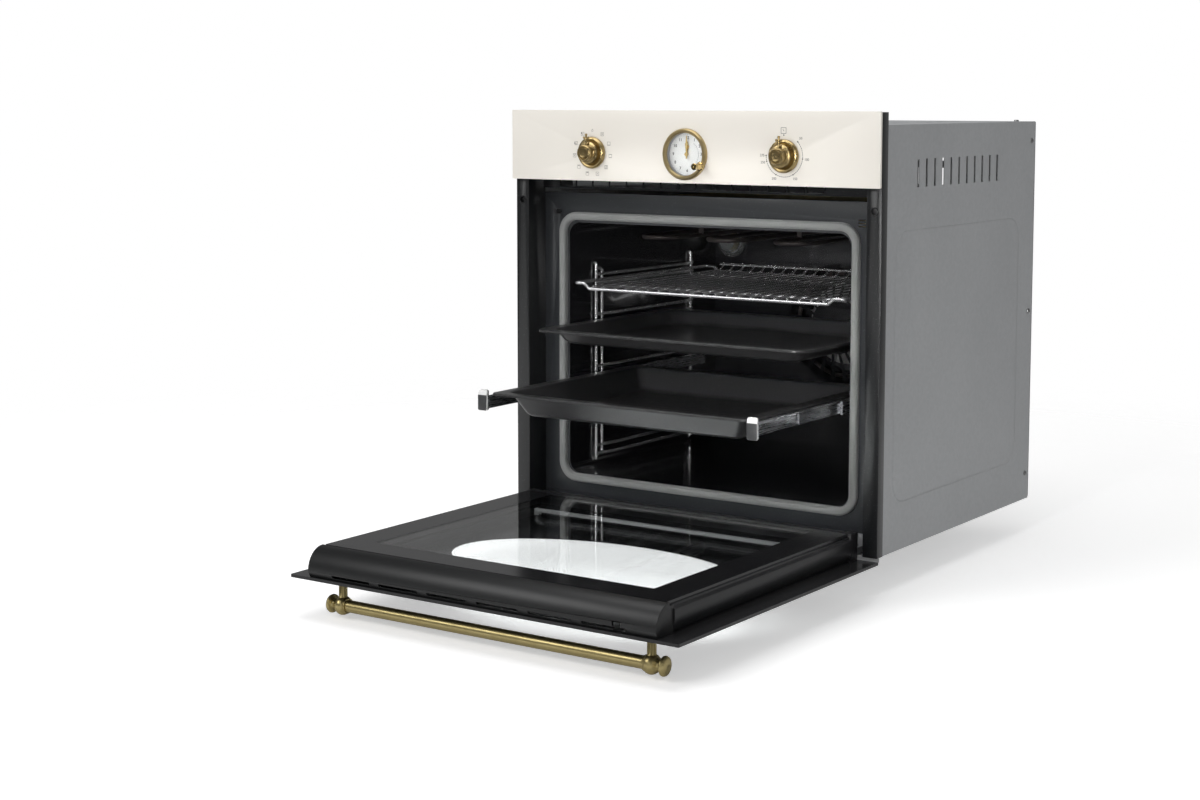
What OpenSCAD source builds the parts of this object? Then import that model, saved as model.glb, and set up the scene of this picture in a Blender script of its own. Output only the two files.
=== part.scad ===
// Built-in electric oven with an open drop-down door, two trays, a wire rack and brass controls.
// Millimetres. X to the right, Y to the back, Z up. The origin is on the underside, at the middle
// of the width, in the plane where the front strips meet the cabinet. The door is drawn open.

/* [Front] */
// Width of the control panel and of the whole front
front_w = 595; // [594:0.5:597]
// Height of the whole front
front_h = 595; // [593:0.5:597]
// Height of the control panel
panel_h = 99.5; // [97:0.5:101]
// Distance from the cabinet to the panel's front face
panel_out = 24.5; // [24:0.5:25]
// Thickness of the panel glass and of the door glasses
glass_t = 4; // [3.5:0.5:4]
// Width of each side strip
strip_w = 21; // [20:0.5:21.5]
// Distance from the cabinet to the strips' front face
strip_out = 16; // [15:0.5:16.5]
// Depth from the cabinet plane to the front frame plate
frame_y = 25; // [25:0.5:26]

/* [Housing] */
// Width of the housing
body_w = 560; // [558:1:562]
// Height of the housing
body_h = 577; // [575:1:580]
// Depth of the housing behind the cabinet plane
body_d = 522; // [520:1:530]
// Sheet thickness of the housing
sheet = 1.2; // [1:0.1:1.4]

/* [Cavity] */
// Inner width of the cavity
cavity_w = 462; // [460:1:463]
// Inner height of the cavity
cavity_h = 370; // [368:1:371]
// Height of the cavity floor
cavity_z = 62; // [61:0.5:63]
// Depth at which the cavity's rear wall stands
cavity_back = 434; // [432:1:440]
// Height of the fan's centre
fan_z = 257; // [250:1:260]

/* [Door] */
// Height of the outer door glass
door_h = 491; // [489:0.5:491.5]
// Height of the closed door's lower edge
door_z = 2; // [2:0.1:2.4]
// Distance from the cabinet to the closed door's front face
door_out = 25.4; // [25:0.1:25.6]
// Depth of the whole door without its handle
door_depth = 42; // [40:0.5:42]
// Half width of the door behind the outer glass
door_half = 268; // [266:0.5:269]
// Distance from the hinge pin to the cabinet plane
hinge_out = 16.4; // [16.3:0.1:16.5]
// Height of the hinge pin
hinge_z = 7.4; // [7.3:0.1:7.5]

/* [Handle] */
// Diameter of the handle bar
handle_d = 16; // [14:0.5:18]
// Distance between the handle posts
handle_pitch = 475; // [460:5:490]
// Gap between the door glass and the bar's centre line
handle_gap = 35.9; // [34:0.1:40]
// Height of the bar when the door is closed
handle_z = 458; // [455:1:460]

/* [Trays and rack] */
// Length of the trays from front to back
tray_l = 362; // [355:1:364]
// How far the deep tray is pulled out
deep_pull = 225; // [200:5:225]
// How far the shallow tray is pulled out
shallow_pull = 105; // [60:5:110]
// Top face of the deep tray's rim
deep_z = 208.5; // [207:0.5:209.5]
// Top face of the shallow tray's rim
shallow_z = 284.5; // [284:0.1:285]
// Number of bars across the wire rack
rack_bars = 21; // [15:2:25]

/* [Controls] */
// Distance of each control knob from the middle
knob_x = 155.5; // [140:1:170]
// Height of the knobs and of the clock above the panel's lower edge
knob_rise = 39.8; // [38:0.1:41]
// Radius of a knob's foot
knob_r = 22.6; // [20:0.2:24]
// Outer radius of the clock's ring
clock_r = 35.5; // [35:0.1:37]

/* [Hidden] */
$fn = 48;

// Clearances
run = 0.05;
wire_lap = 0.3;
wire_skin = 0.03;
gap = 0.3;

// Front
panel_z = front_h - panel_h;
panel_back = -panel_out + glass_t;
knob_z = panel_z + knob_rise;
plate_t = 3;
plate_back = panel_back + plate_t;
shaft_hole_r = 5;
clock_hole_r = 33;
strip_x = front_w / 2 - 1.5;
strip_in = strip_x - strip_w;
wall_in = strip_in - 0.5;
strip_foot = 7.5;
screw_x = 285.7;
screw_z = 465;
screw_hole_r = 4.5;
screw_boss_r = 6.8;
flange_in = body_w / 2 + 1;

// Housing
body_half = body_w / 2;
body_in = body_half - sheet;
base_front = -6;
frame_back = frame_y + sheet;
cavity_top = cavity_z + cavity_h;
frame_top = cavity_top + 43;
sill_z = 34;
sill_back = 3;
vent_top = body_h - 47;
vent_low = body_h - 85;
terminal_x = 200;
terminal_z = body_h - 57;
inlet_r = 6;
inlet_collar_r = 9;

// Cavity
mouth_r = 18;
liner_t = 1;
pan_r = 99;
pan_d = 32;
pan_back = cavity_back + pan_d;
seal_w = 11.6;
seal_t = 8;
seal_half = cavity_w / 2 + 14.8;
seal_z = cavity_z - 12.1;
seal_top = cavity_top + 15.2;
tube_r = 3.2;
grill_z = cavity_top - 20;
grill_pitch = 55;
grill_legs = 6;
grill_end = grill_pitch * (grill_legs - 1) / 2;
wool_t = 31;
wool_back = pan_back - 4;

// Wire side racks
wire_r = 2.5;
guide_r = 2.3;
rack_wire_x = cavity_w / 2 - 3.5;
guide_x = cavity_w / 2 - 8.5;
rack_low = cavity_z + 10;
rack_high = cavity_top - 64;
pin_low = cavity_z + mouth_r + 7;
post_front = 88;
post_second = 103;
post_rear = 352;
guide_levels = [for (rise = [18, 78, 138.5, 216, 276]) cavity_z + rise];
guide_pitch = 13.3;
guide_start = cavity_w / 2 - 5.7;
guide_foot = 132;
guide_end = 328;

// Telescopic rails
rail_level = guide_levels[2];
rail_z = rail_level - 13.5;
rail_h = 17.8;
rail_l = 350;
rail_front = 28;
inner_x = 208;
mid_x = 212;
outer_x = 216;
member_t = 3.7;
ledge_x = 198;
cap_h = 32;
cap_z = rail_z - 6;
cap_t = 3;
cap_x = 207.2;
cap_w = 14.6;

// Trays
tray_t = 1;
deep_front = frame_y - 2 - deep_pull;
shallow_front = frame_y - 1 - shallow_pull;
deep_half = 207;
deep_lip = 3.2;
shallow_half = 221;

// Wire rack
grid_front = 26;
grid_back = 386;
runner_z = guide_levels[4] + 5.3;
bar_z = runner_z - 7.8;
runner_x = guide_x - 1.5;
bar_r = 2.4;
thin_r = 1.5;
crank_x = 196;
bar_span = 379;

// Door, drawn closed and turned open
door_back = -door_out + door_depth;
glass_back = -door_out + glass_t;
door_top = door_z + door_h;
outer_half = 296.5;
inner_half = 262;
inner_z = 24;
inner_top = 464.4;
trim_half = 266;
rail_half = 266;
rail_foot = 5;
side_in = 243;
trim_low = inner_top - 8;
trim_back = door_back - 0.4;
trim_bulge = [30, 27.6];
mid_y = -8;
hinge_x = 250;
eye_r = 4.4;
pin_r = 3;
nose_t = 4.4;
bolt_r = 3;
washer_r = 5.2;

// Air outlet
slot_pitch = 29.2;
slot_count = 15;
slot_left = -245;
outlet_y = 20.5;
outlet_z = panel_z - 14;
outlet_top = panel_z + 1.5;
outlet_back = 60;
blower_y = 330;
blower_z = frame_top + 6.5;
duct_h = 15.5;
scroll_r = 75;
scroll_top = blower_z + 53.5;
motor_h = 26;

// Door switch
switch_x = -248;
switch_z = 447.6;
switch_r = 3.4;
switch_out = 12;

// Clock
bezel_in = 29.5;
sleeve_r = 32.9;
clock_front = -panel_out - 5.5;
dial_y = -19;
setter_a = -30;
setter_d = 31.8;
setter_x = setter_d * cos(setter_a);
setter_z = knob_z + setter_d * sin(setter_a);

// Lamp
lamp_x = -200;
lamp_z = cavity_top - 50;
lamp_r = 20;

// A box from one corner to the other
module box(x, y, z) {
    translate([x[0], y[0], z[0]]) cube([x[1] - x[0], y[1] - y[0], z[1] - z[0]]);
}

// A round bar between two points
module rod(p, q, r) {
    d = q - p;
    l = norm(d);
    translate(p) rotate([0, acos(d[2] / l), atan2(d[1], d[0])]) cylinder(r = r, h = l);
}

function unit(v) = v / norm(v);

// The turn at point p of a path that comes from a and goes on to b
function turn_at(a, p, b) = acos(unit(p - a) * unit(b - p));

// Where the bend of radius bend at point p starts, on the side of a
function bend_start(a, p, b, bend) = p + unit(a - p) * bend * tan(turn_at(a, p, b) / 2);

// A piece of ring that carries a wire round the corner at p
module elbow(a, p, b, r, bend) {
    start = bend_start(a, p, b, bend);
    u = unit(p - a);
    centre = p + unit(unit(b - p) - u) * bend / cos(turn_at(a, p, b) / 2);
    x = unit(start - centre);
    z = cross(x, u);
    multmatrix([[x[0], u[0], z[0], centre[0]], [x[1], u[1], z[1], centre[1]], [x[2], u[2], z[2], centre[2]]])
        rotate_extrude(angle = turn_at(a, p, b)) translate([bend, 0]) circle(r);
}

// A bent wire along a list of points; the bends are a hair thicker, so that the straights end inside them
module wire(points, r, bend) {
    last = len(points) - 1;
    for (i = [1 : last]) {
        lap = unit(points[i] - points[i - 1]) * wire_lap;
        p = i == 1 ? points[0] : bend_start(points[i], points[i - 1], points[i - 2], bend) - lap;
        q = i == last ? points[i] : bend_start(points[i - 1], points[i], points[i + 1], bend) + lap;
        rod(p, q, r);
    }
    for (i = [1 : 1 : last - 1]) elbow(points[i - 1], points[i], points[i + 1], r + wire_skin, bend);
}

// A cylinder along Y
module disc_y(x, z, y0, y1, r) {
    translate([x, y1, z]) rotate([90, 0, 0]) cylinder(r = r, h = y1 - y0);
}

// A flat profile in X and Z, extruded along Y
module along_y(y0, y1) {
    translate([0, y1, 0]) rotate([90, 0, 0]) linear_extrude(y1 - y0) children();
}

// A flat profile in Y and Z, extruded along X
module along_x(x0, x1) {
    translate([x0, 0, 0]) rotate([90, 0, 90]) linear_extrude(x1 - x0) children();
}

// A profile of radius and forward distance, turned about an axis along Y
module turned(x, y, z) {
    translate([x, y, z]) rotate([90, 0, 0]) rotate_extrude($fn = 64) children();
}

// A rectangle with round corners, centred on the middle of its width
module round_rect(w, z0, z1, r) {
    h = z1 - z0;
    translate([-w / 2 + r, z0]) square([w - 2 * r, h]);
    translate([-w / 2, z0 + r]) square([w, h - 2 * r]);
    for (x = [-w / 2 + r, w / 2 - r], z = [z0 + r, z1 - r]) translate([x, z]) circle(r);
}

// Draws the same thing on the right, or mirrored on the left
module on_side(side) {
    if (side > 0) children();
    else mirror([1, 0, 0]) children();
}

module both_sides() {
    for (side = [-1, 1]) on_side(side) children();
}

// Turns the closed door's shape about the hinge pin to its open place
module opened() {
    translate([0, -hinge_out, hinge_z]) rotate([90, 0, 0]) translate([0, hinge_out, -hinge_z]) children();
}

// Housing

module housing_base() color("silver") {
    difference() {
        box([-body_half, body_half], [base_front, body_d], [0, sheet]);
        for (x = [-200 : 50 : 200]) box([x - 15, x + 15], [body_d - 90, body_d - 84], [-1, sheet + 1]);
    }
}

module housing_wrap() color("silver") {
    difference() {
        box([-body_half, body_half], [0, body_d - sheet], [sheet, body_h]);
        box([-body_in, body_in], [-1, body_d], [0, body_h - sheet]);
        for (x = [-180 : 24 : 180], y = [400, 440]) {
            box([x - 4, x + 4], [y, y + 26], [body_h - 5, body_h + 1]);
        }
        for (side = [-1, 1], y = [120 : 26 : 380]) on_side(side) {
            box([body_in - 1, body_half + 1], [y, y + 6], [vent_low, vent_top]);
        }
    }
}

module housing_rear() color("silver") {
    rear_y = body_d - sheet;
    difference() {
        union() {
            box([-body_in, body_in], [rear_y, body_d], [sheet, body_h - sheet]);
            box([-body_in, body_in], [rear_y - 14, rear_y], [sheet, 2 * sheet]);
        }
        for (x = [-150 : 20 : 150], z = [vent_low - 22, vent_low + 23])
            box([x - 3, x + 3], [rear_y - 1, body_d + 1], [z, z + 34]);
        for (x = [-90 : 18 : 90]) box([x - 3, x + 3], [rear_y - 1, body_d + 1], [fan_z - 30, fan_z + 30]);
        disc_y(terminal_x, terminal_z, rear_y - 1, body_d + 1, inlet_collar_r);
    }
}

// One side strip: front flange, outer return and inner wall, with a screw collar
module side_strip(side) color("dimgray") on_side(side) {
    top = front_h - 1;
    difference() {
        union() {
            box([wall_in, strip_x], [-strip_out, -strip_out + 1], [strip_foot, top]);
            box([strip_x - 1, strip_x], [-strip_out, 0], [strip_foot, top]);
            box([wall_in, wall_in + 1], [-strip_out, frame_y], [strip_foot, body_h - sheet]);
            box([wall_in, wall_in + 1], [-strip_out, 0], [strip_foot, top]);
            box([flange_in, strip_x], [-1, 0], [strip_foot, top]);
            disc_y(screw_x, screw_z, -strip_out - 0.6, 0, screw_boss_r);
        }
        disc_y(screw_x, screw_z, -strip_out - 2, 1, screw_hole_r);
    }
}

module front_frame() color("dimgray") difference() {
    union() {
        box([-body_in, body_in], [frame_y, frame_back], [sill_z, frame_top]);
        box([-body_in, body_in], [frame_y, frame_back + sill_back], [sill_z, sill_z + sheet]);
        box([-body_in, body_in], [frame_y + sill_back, frame_back + sill_back], [sheet, sill_z]);
        box([-body_in, body_in], [frame_y, frame_y + 14], [frame_top - sheet, frame_top]);
    }
    along_y(frame_y - 1, frame_back + 1) round_rect(cavity_w, cavity_z, cavity_top, mouth_r);
    disc_y(switch_x, switch_z, frame_y - 1, frame_back + 1, switch_r + 0.1);
    for (z = [switch_z - 6 : 4 : switch_z + 3]) box([241, 252], [frame_y - 1, frame_back + 1], [z, z + 1.6]);
    both_sides() box([hinge_x - 7, hinge_x + 7], [frame_y, frame_y + 10], [sheet + 1, sill_z - 6]);
}

// The strip with the cooling slots, and the duct lips behind it
module air_outlet() color("gray") {
    difference() {
        union() {
            box([-wall_in, wall_in], [outlet_y, outlet_y + sheet], [outlet_z, outlet_top]);
            box([-wall_in, wall_in], [outlet_y, outlet_back], [outlet_z, outlet_z + sheet]);
            box([-wall_in, wall_in], [outlet_y, outlet_back], [outlet_top - sheet, outlet_top]);
        }
        for (i = [0 : slot_count - 1]) {
            x = slot_left + i * slot_pitch;
            box([x + 1, x + slot_pitch - 1], [outlet_y - 1, outlet_y + sheet + 1], [outlet_z + 3, outlet_top - 2]);
        }
    }
}

// Cavity

// The liner's outer outline
module liner_outline() round_rect(cavity_w + 2 * liner_t, cavity_z - liner_t, cavity_top + liner_t, mouth_r + liner_t);

module cavity_liner() color("black") along_y(frame_back, cavity_back) difference() {
    liner_outline();
    round_rect(cavity_w, cavity_z, cavity_top, mouth_r);
}

// The rear wall, with the round pan that holds the hot-air fan
module cavity_rear() color("black") {
    difference() {
        union() {
            along_y(cavity_back, cavity_back + liner_t) liner_outline();
            disc_y(0, fan_z, cavity_back, pan_back, pan_r);
        }
        disc_y(0, fan_z, cavity_back - 1, pan_back - liner_t, pan_r - liner_t);
        disc_y(0, fan_z, cavity_back, pan_back + 1, pin_r + 2);
        disc_y(lamp_x, lamp_z, cavity_back - 1, cavity_back + 2, lamp_r);
        for (x = [-12, 12]) disc_y(x, fan_z + 82, pan_back - 2, pan_back + 1, tube_r - 0.4);
        for (x = [-grill_end, grill_end]) disc_y(x, grill_z, cavity_back - 1, cavity_back + 2, tube_r);
    }
}

// The soft loop around the cavity's mouth
module cavity_gasket() color("darkgray") {
    r = 30;
    step = 1.8;
    crown = 3.5;
    along_y(frame_y - seal_t + crown, frame_y) difference() {
        round_rect(2 * seal_half, seal_z, seal_top, r);
        round_rect(2 * (seal_half - seal_w), seal_z + seal_w, seal_top - seal_w, r - seal_w);
    }
    along_y(frame_y - seal_t, frame_y - seal_t + crown) difference() {
        round_rect(2 * (seal_half - step), seal_z + step, seal_top - step, r - step);
        round_rect(2 * (seal_half - seal_w + step), seal_z + seal_w - step, seal_top - seal_w + step,
            r - seal_w + step);
    }
}

// A dished cover with wedge-shaped slots around a plain centre
module fan_cover() color("black") {
    rim = 108;
    foot = 96;
    flat = 40;
    rise = 16;
    slots = 24;
    slot_a = 10.5;
    slot_r0 = 44;
    slot_r1 = 91;
    difference() {
        turned(0, cavity_back, fan_z) polygon([
            [0, rise - 1], [flat, rise - 1], [foot - 1, 0], [rim, 0], [rim, 1], [foot, 1], [flat, rise], [0, rise]
        ]);
        for (i = [0 : slots - 1]) translate([0, cavity_back + 1, fan_z]) rotate([90, i * 360 / slots, 0])
            linear_extrude(rise + 4) polygon([
                slot_r0 * [cos(-slot_a / 2), sin(-slot_a / 2)], slot_r1 * [cos(-slot_a / 2), sin(-slot_a / 2)],
                slot_r1 * [cos(slot_a / 2), sin(slot_a / 2)], slot_r0 * [cos(slot_a / 2), sin(slot_a / 2)]
            ]);
    }
}

module ring_element() color("darkslategray") {
    y = 448;
    translate([0, y, fan_z]) rotate([90, 0, 0]) rotate_extrude($fn = 96) translate([82, 0]) circle(tube_r);
    for (x = [-12, 12]) rod([x, y - 1, fan_z + 82], [x, pan_back + 12, fan_z + 82], tube_r - 0.4);
}

// Half of a ring in the XY plane, open towards +Y
module half_loop(x, y, z, r, turn) {
    translate([x, y, z]) rotate([0, 0, turn]) rotate_extrude(angle = 180, $fn = 48) translate([r, 0]) circle(tube_r);
}

module grill_element() color("darkslategray") {
    pitch = grill_pitch;
    last = grill_legs - 1;
    y0 = 90;
    y1 = cavity_back - 54;
    for (i = [0 : last]) {
        x = -grill_end + i * pitch;
        rod([x, y0, grill_z], [x, i == 0 || i == last ? cavity_back + 14 : y1, grill_z], tube_r);
    }
    for (i = [0 : 2 : last - 1]) half_loop(-grill_end + (i + 0.5) * pitch, y0, grill_z, pitch / 2, 180);
    for (i = [1 : 2 : last - 2]) half_loop(-grill_end + (i + 0.5) * pitch, y1, grill_z, pitch / 2, 0);
    for (x = [-pitch * 1.5, pitch * 1.5]) box([x - 4, x + 4], [y0 + 60, y0 + 62], [grill_z, cavity_top]);
}

module base_element() color("darkslategray") {
    z = cavity_z - liner_t - tube_r;
    r = 40;
    half = 150;
    y0 = 110;
    for (side = [-1, 1]) {
        rod([side * half, y0 + r, z], [side * half, 440, z], tube_r);
        translate([side * (half - r), y0 + r, z]) rotate([0, 0, side > 0 ? -90 : 180])
            rotate_extrude(angle = 90, $fn = 48) translate([r, 0]) circle(tube_r);
    }
    rod([-half + r, y0, z], [half - r, y0, z], tube_r);
}

module fan_motor() color("gray") difference() {
    union() {
        disc_y(0, fan_z, pan_back, pan_back + 4, 24);
        disc_y(0, fan_z, pan_back + 4, pan_back + 34, 36);
        disc_y(0, fan_z, pan_back + 34, pan_back + 40, 14);
        box([-48, 48], [pan_back + 8, pan_back + 26], [fan_z - 14, fan_z + 14]);
    }
    disc_y(0, fan_z, pan_back - 1, pan_back + 30, pin_r + run);
}

module lamp_glass() color("whitesmoke") {
    turned(lamp_x, cavity_back, lamp_z) polygon([
        [0, -18], [14, -18], [lamp_r, -14], [lamp_r, 0], [26, 0], [26, 3], [24, 5], [18, 5], [17, 12], [13, 17],
        [7, 20], [0, 21]
    ]);
}

module insulation() color("khaki") difference() {
    half = cavity_w / 2 + wool_t;
    y0 = frame_back + 18;
    through = wool_back + 1;
    box([-half, half], [y0, wool_back], [cavity_z - 24, cavity_top + 26]);
    along_y(y0 - 1, cavity_back + liner_t) liner_outline();
    box([-170, 170], [90, through], [cavity_z - 12, cavity_z]);
    disc_y(0, fan_z, cavity_back, through, pan_r);
    disc_y(lamp_x, lamp_z, cavity_back, through, lamp_r + 4);
    for (x = [-grill_end, grill_end]) disc_y(x, grill_z, cavity_back, through, tube_r + 1);
}

// Scroll, duct, mounting plate and motor of the cooling blower
module blower_housing() color("silver") {
    duct_y = blower_y - 45;
    wall = 1.5;
    difference() {
        union() {
            box([-body_in, body_in], [blower_y - 100, blower_y + 110], [blower_z - sheet, blower_z]);
            translate([0, blower_y, blower_z]) cylinder(r = scroll_r, h = scroll_top - blower_z);
            translate([0, 0, blower_z]) linear_extrude(duct_h)
                polygon([[-250, outlet_back], [200, outlet_back], [60, duct_y], [-60, duct_y]]);
            translate([0, blower_y, scroll_top]) cylinder(r = 30, h = motor_h);
            translate([0, blower_y, scroll_top]) cylinder(r = 44, h = 2);
        }
        translate([0, blower_y, blower_z + wall]) cylinder(r = scroll_r - wall, h = scroll_top - blower_z - 2 * wall);
        translate([0, 0, blower_z + wall]) linear_extrude(duct_h - 2 * wall)
            polygon([[-248, outlet_back - 1], [198, outlet_back - 1], [56, duct_y + 10], [-56, duct_y + 10]]);
        translate([0, blower_y, scroll_top - 2 * wall]) cylinder(r = pin_r + run, h = motor_h - 4);
        for (a = [0 : 30 : 330]) translate([0, blower_y, scroll_top - 3]) rotate([0, 0, a])
            box([50, 66], [-5, 5], [0, 4]);
    }
}

// Control panel

module panel_glass() color("ivory") along_y(-panel_out, panel_back) difference() {
    round_rect(front_w, panel_z, front_h, 1.5);
    for (x = [-knob_x, knob_x]) translate([x, knob_z]) circle(shaft_hole_r);
    translate([0, knob_z]) circle(clock_hole_r);
}

module panel_carrier() color("dimgray") difference() {
    half = front_w / 2 - 7.5;
    top = front_h - 2.5;
    union() {
        box([-half, half], [panel_back, plate_back], [outlet_top + 1, top]);
        box([-wall_in, wall_in], [plate_back - 1, outlet_back], [outlet_top, outlet_top + sheet]);
        box([-wall_in, wall_in], [plate_back - 1, -0.5], [top - sheet, top]);
    }
    for (x = [-knob_x, knob_x]) disc_y(x, knob_z, panel_back - 1, plate_back + 1, shaft_hole_r);
    disc_y(0, knob_z, panel_back - 1, plate_back + 1, clock_hole_r);
}

module clock_bezel() color("goldenrod") difference() {
    front = clock_front;
    turned(0, 0, knob_z) polygon([
        [bezel_in, -front - 4.5], [bezel_in, -front - 1.2], [30.6, -front], [33.4, -front], [clock_r - 0.4, -front - 2],
        [clock_r, panel_out + 1.5], [clock_r, panel_out], [sleeve_r, panel_out], [sleeve_r, 14], [30, 14],
        [30, -front - 4.5]
    ]);
    disc_y(setter_x, setter_z, front - 1, front + 3.6, 1.5 + run);
}

module clock_case() color("white") difference() {
    union() {
        disc_y(0, knob_z, dial_y, -14, 29.9);
        disc_y(0, knob_z, -14, 18, 32.5);
    }
    disc_y(0, knob_z, dial_y - 1, -8, 1 + run);
}

module clock_glass() color("lightcyan") disc_y(0, knob_z, clock_front + 4.6, clock_front + 6, 30);

// A square switch body behind the panel, with a bore for the knob's shaft
module rotary_switch(x, half, back) color("beige") difference() {
    union() {
        box([x - half, x + half], [plate_back, back], [knob_z - half, knob_z + half]);
        box([x - half + 5, x + half - 5], [back, back + 8], [knob_z - half + 6, knob_z + half - 6]);
    }
    disc_y(x, knob_z, plate_back - 1, 6, pin_r + run);
}

module function_switch() rotary_switch(-knob_x, 22, 24);

module thermostat() rotary_switch(knob_x, 20, 16);

// Wire side racks and rails

// One side rack: three posts, five pairs of guides and the pins into the wall
module side_rack(side) color("gainsboro") on_side(side) {
    wall = cavity_w / 2;
    low = rack_low + 8;
    high = rack_high - 8;
    for (y = [post_front, post_rear]) {
        wire([[rack_wire_x, y, rack_low], [rack_wire_x, y, rack_high], [wall, y, rack_high]], wire_r, 3);
        rod([rack_wire_x, y, pin_low], [wall, y, pin_low], wire_r - 0.3);
    }
    wire([
        [rack_wire_x, post_front + 1, low], [rack_wire_x, post_second, low],
        [rack_wire_x, post_second, high], [rack_wire_x, post_front + 1, high]
    ], wire_r - 0.1, 6);
    for (level = guide_levels, z = [level, level + guide_pitch]) wire([
        [guide_start, post_front - 1.5, z], [guide_start, post_second + 6, z], [guide_x, guide_foot, z],
        [guide_x, guide_end, z], [guide_start, post_rear - 6, z], [guide_start, post_rear + 1.5, z]
    ], guide_r, 30);
}

// The fixed rail member, clipped to a guide wire of the side rack
module rail_outer(side) color("lightgray") on_side(side) difference() {
    z = rail_level;
    clips = [guide_foot + 18, guide_end - 38];
    union() {
        box([outer_x, outer_x + member_t], [rail_front, rail_front + rail_l], [rail_z, rail_z + rail_h]);
        for (y = clips) box([outer_x + 1, guide_x + wire_r + 1], [y, y + 14], [z - 6, z + wire_r + 1]);
    }
    rod([guide_x, guide_foot, z], [guide_x, guide_end, z], guide_r);
    for (y = clips) box([outer_x + member_t, guide_x + 9], [y - 1, y + 15], [z - 7, z - 1]);
}

module rail_mid(side) color("lightgray") on_side(side) {
    y = rail_front - deep_pull / 2;
    box([mid_x, mid_x + member_t], [y, y + rail_l], [rail_z + 2, rail_z + rail_h - 2]);
}

// The moving rail member with the bright cap at its front and two ledges under the tray's rim
module rail_inner(side) color("whitesmoke") on_side(side) {
    y = deep_front + cap_t;
    box([inner_x, inner_x + member_t], [y, y + rail_l], [rail_z, rail_z + rail_h]);
    for (at = [y + 20, y + rail_l - 50]) {
        box([ledge_x, inner_x], [at, at + 30], [deep_z - deep_lip - 3, deep_z - deep_lip - 1]);
        box([ledge_x, ledge_x + 4], [at, at + 30], [deep_z - deep_lip - 1, deep_z - tray_t]);
    }
    along_y(deep_front, y) translate([cap_x + cap_w / 2, 0]) round_rect(cap_w, cap_z, cap_z + cap_h, 2.5);
}

// Trays and wire rack

// A flat plate with round corners between two heights
module plate(half, y0, y1, z0, z1, r) {
    translate([0, (y0 + y1) / 2, z0]) linear_extrude(z1 - z0) round_rect(2 * half, (y0 - y1) / 2, (y1 - y0) / 2, r);
}

// A solid with four sloping sides, joined by cones at the corners
module dish(half, y0, y1, low, top, r, slope) {
    along_x(-half + r, half - r) polygon([[y0 + slope, low], [y1 - slope, low], [y1, top], [y0, top]]);
    along_y(y0 + r, y1 - r) polygon([[-half + slope, low], [half - slope, low], [half, top], [-half, top]]);
    for (x = [-half + r, half - r], y = [y0 + r, y1 - r])
        translate([x, y, low]) cylinder(r1 = r - slope, r2 = r, h = top - low);
}

// A pressed tray: flat rim with its edge turned down, and sloping walls
module tray(front, half, top, depth, rim, slope, lip) {
    back = front + tray_l;
    t = tray_t;
    edge_t = 1.6;
    r = 22;
    edge_r = r + 3;
    difference() {
        union() {
            plate(half, front, back, top - t, top, edge_r);
            difference() {
                plate(half, front, back, top - lip, top - t, edge_r);
                plate(half - edge_t, front + edge_t, back - edge_t, top - lip - t, top - t, edge_r - edge_t);
            }
            dish(half - rim + t, front + rim - t, back - rim + t, top - depth, top - t / 2, r + t, slope);
        }
        dish(half - rim, front + rim, back - rim, top - depth + t, top + t, r, slope);
    }
}

module deep_tray() color("dimgray") tray(deep_front + cap_t, deep_half, deep_z, 33, 19, 18, deep_lip);

module shallow_tray() color("dimgray") tray(shallow_front, shallow_half, shallow_z, 20, 18, 13, 3.6);

// The rack's frame wire at one end, from one side to the other, dipping between the two cranks
function rack_end(y, side) = [
    [side * runner_x, y, runner_z], [side * (crank_x + 9), y, runner_z], [side * crank_x, y, bar_z],
    [-side * crank_x, y, bar_z], [-side * (crank_x + 9), y, runner_z], [-side * runner_x, y, runner_z]
];

module wire_rack() color("gainsboro") {
    bar_top = bar_z + bar_r + thin_r - 0.5;
    side_mid = [runner_x, (grid_front + grid_back) / 2, runner_z];
    wire(concat([side_mid], rack_end(grid_front, 1), rack_end(grid_back, -1), [side_mid]), bar_r, 5);
    for (y = [grid_front + 56, grid_back - 90]) rod([-crank_x + 1, y, bar_z], [crank_x - 1, y, bar_z], bar_r);
    for (i = [0 : rack_bars - 1]) {
        x = -bar_span / 2 + i * bar_span / (rack_bars - 1);
        wire([[x, grid_front, bar_top], [x, grid_back - 7, bar_top], [x, grid_back + 5, runner_z + 3]], thin_r, 6);
    }
    rod([-crank_x, grid_back + 5, runner_z + 4], [crank_x, grid_back + 5, runner_z + 4], 2);
}

// Door

module door_glass_outer() color("ivory") opened() difference() {
    along_y(-door_out, glass_back) round_rect(2 * outer_half, door_z, door_top, 2);
    for (x = [-handle_pitch / 2, handle_pitch / 2])
        disc_y(x, handle_z, -door_out - 1, glass_back + 1, bolt_r + 2 * gap);
}

module door_glass_mid() color("lightgray") opened() {
    along_y(mid_y, mid_y + glass_t) round_rect(2 * side_in, inner_z, inner_top, 2);
}

module door_glass_inner() color("gray") opened() {
    along_y(door_back - glass_t, door_back) round_rect(2 * inner_half, inner_z, inner_top, 2);
}

// A hollow side profile with a cove at the outer glass and a groove under the inner glass
module door_side(side) color("black") opened() on_side(side) {
    seat = door_back - glass_t;
    translate([0, 0, inner_z]) linear_extrude(trim_low - inner_z) difference() {
        polygon([
            [side_in, glass_back], [door_half - 6, glass_back], [door_half - 5, glass_back + 2],
            [door_half - 2, glass_back + 7], [door_half, glass_back + 14], [door_half, seat - 5],
            [door_half - 4.5, seat - 3], [door_half - 4.5, seat], [side_in, seat]
        ]);
        polygon([
            [side_in + 2, glass_back + 2], [door_half - 8, glass_back + 2], [door_half - 3, glass_back + 14],
            [door_half - 3, seat - 8], [side_in + 2, seat - 8]
        ]);
    }
}

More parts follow.
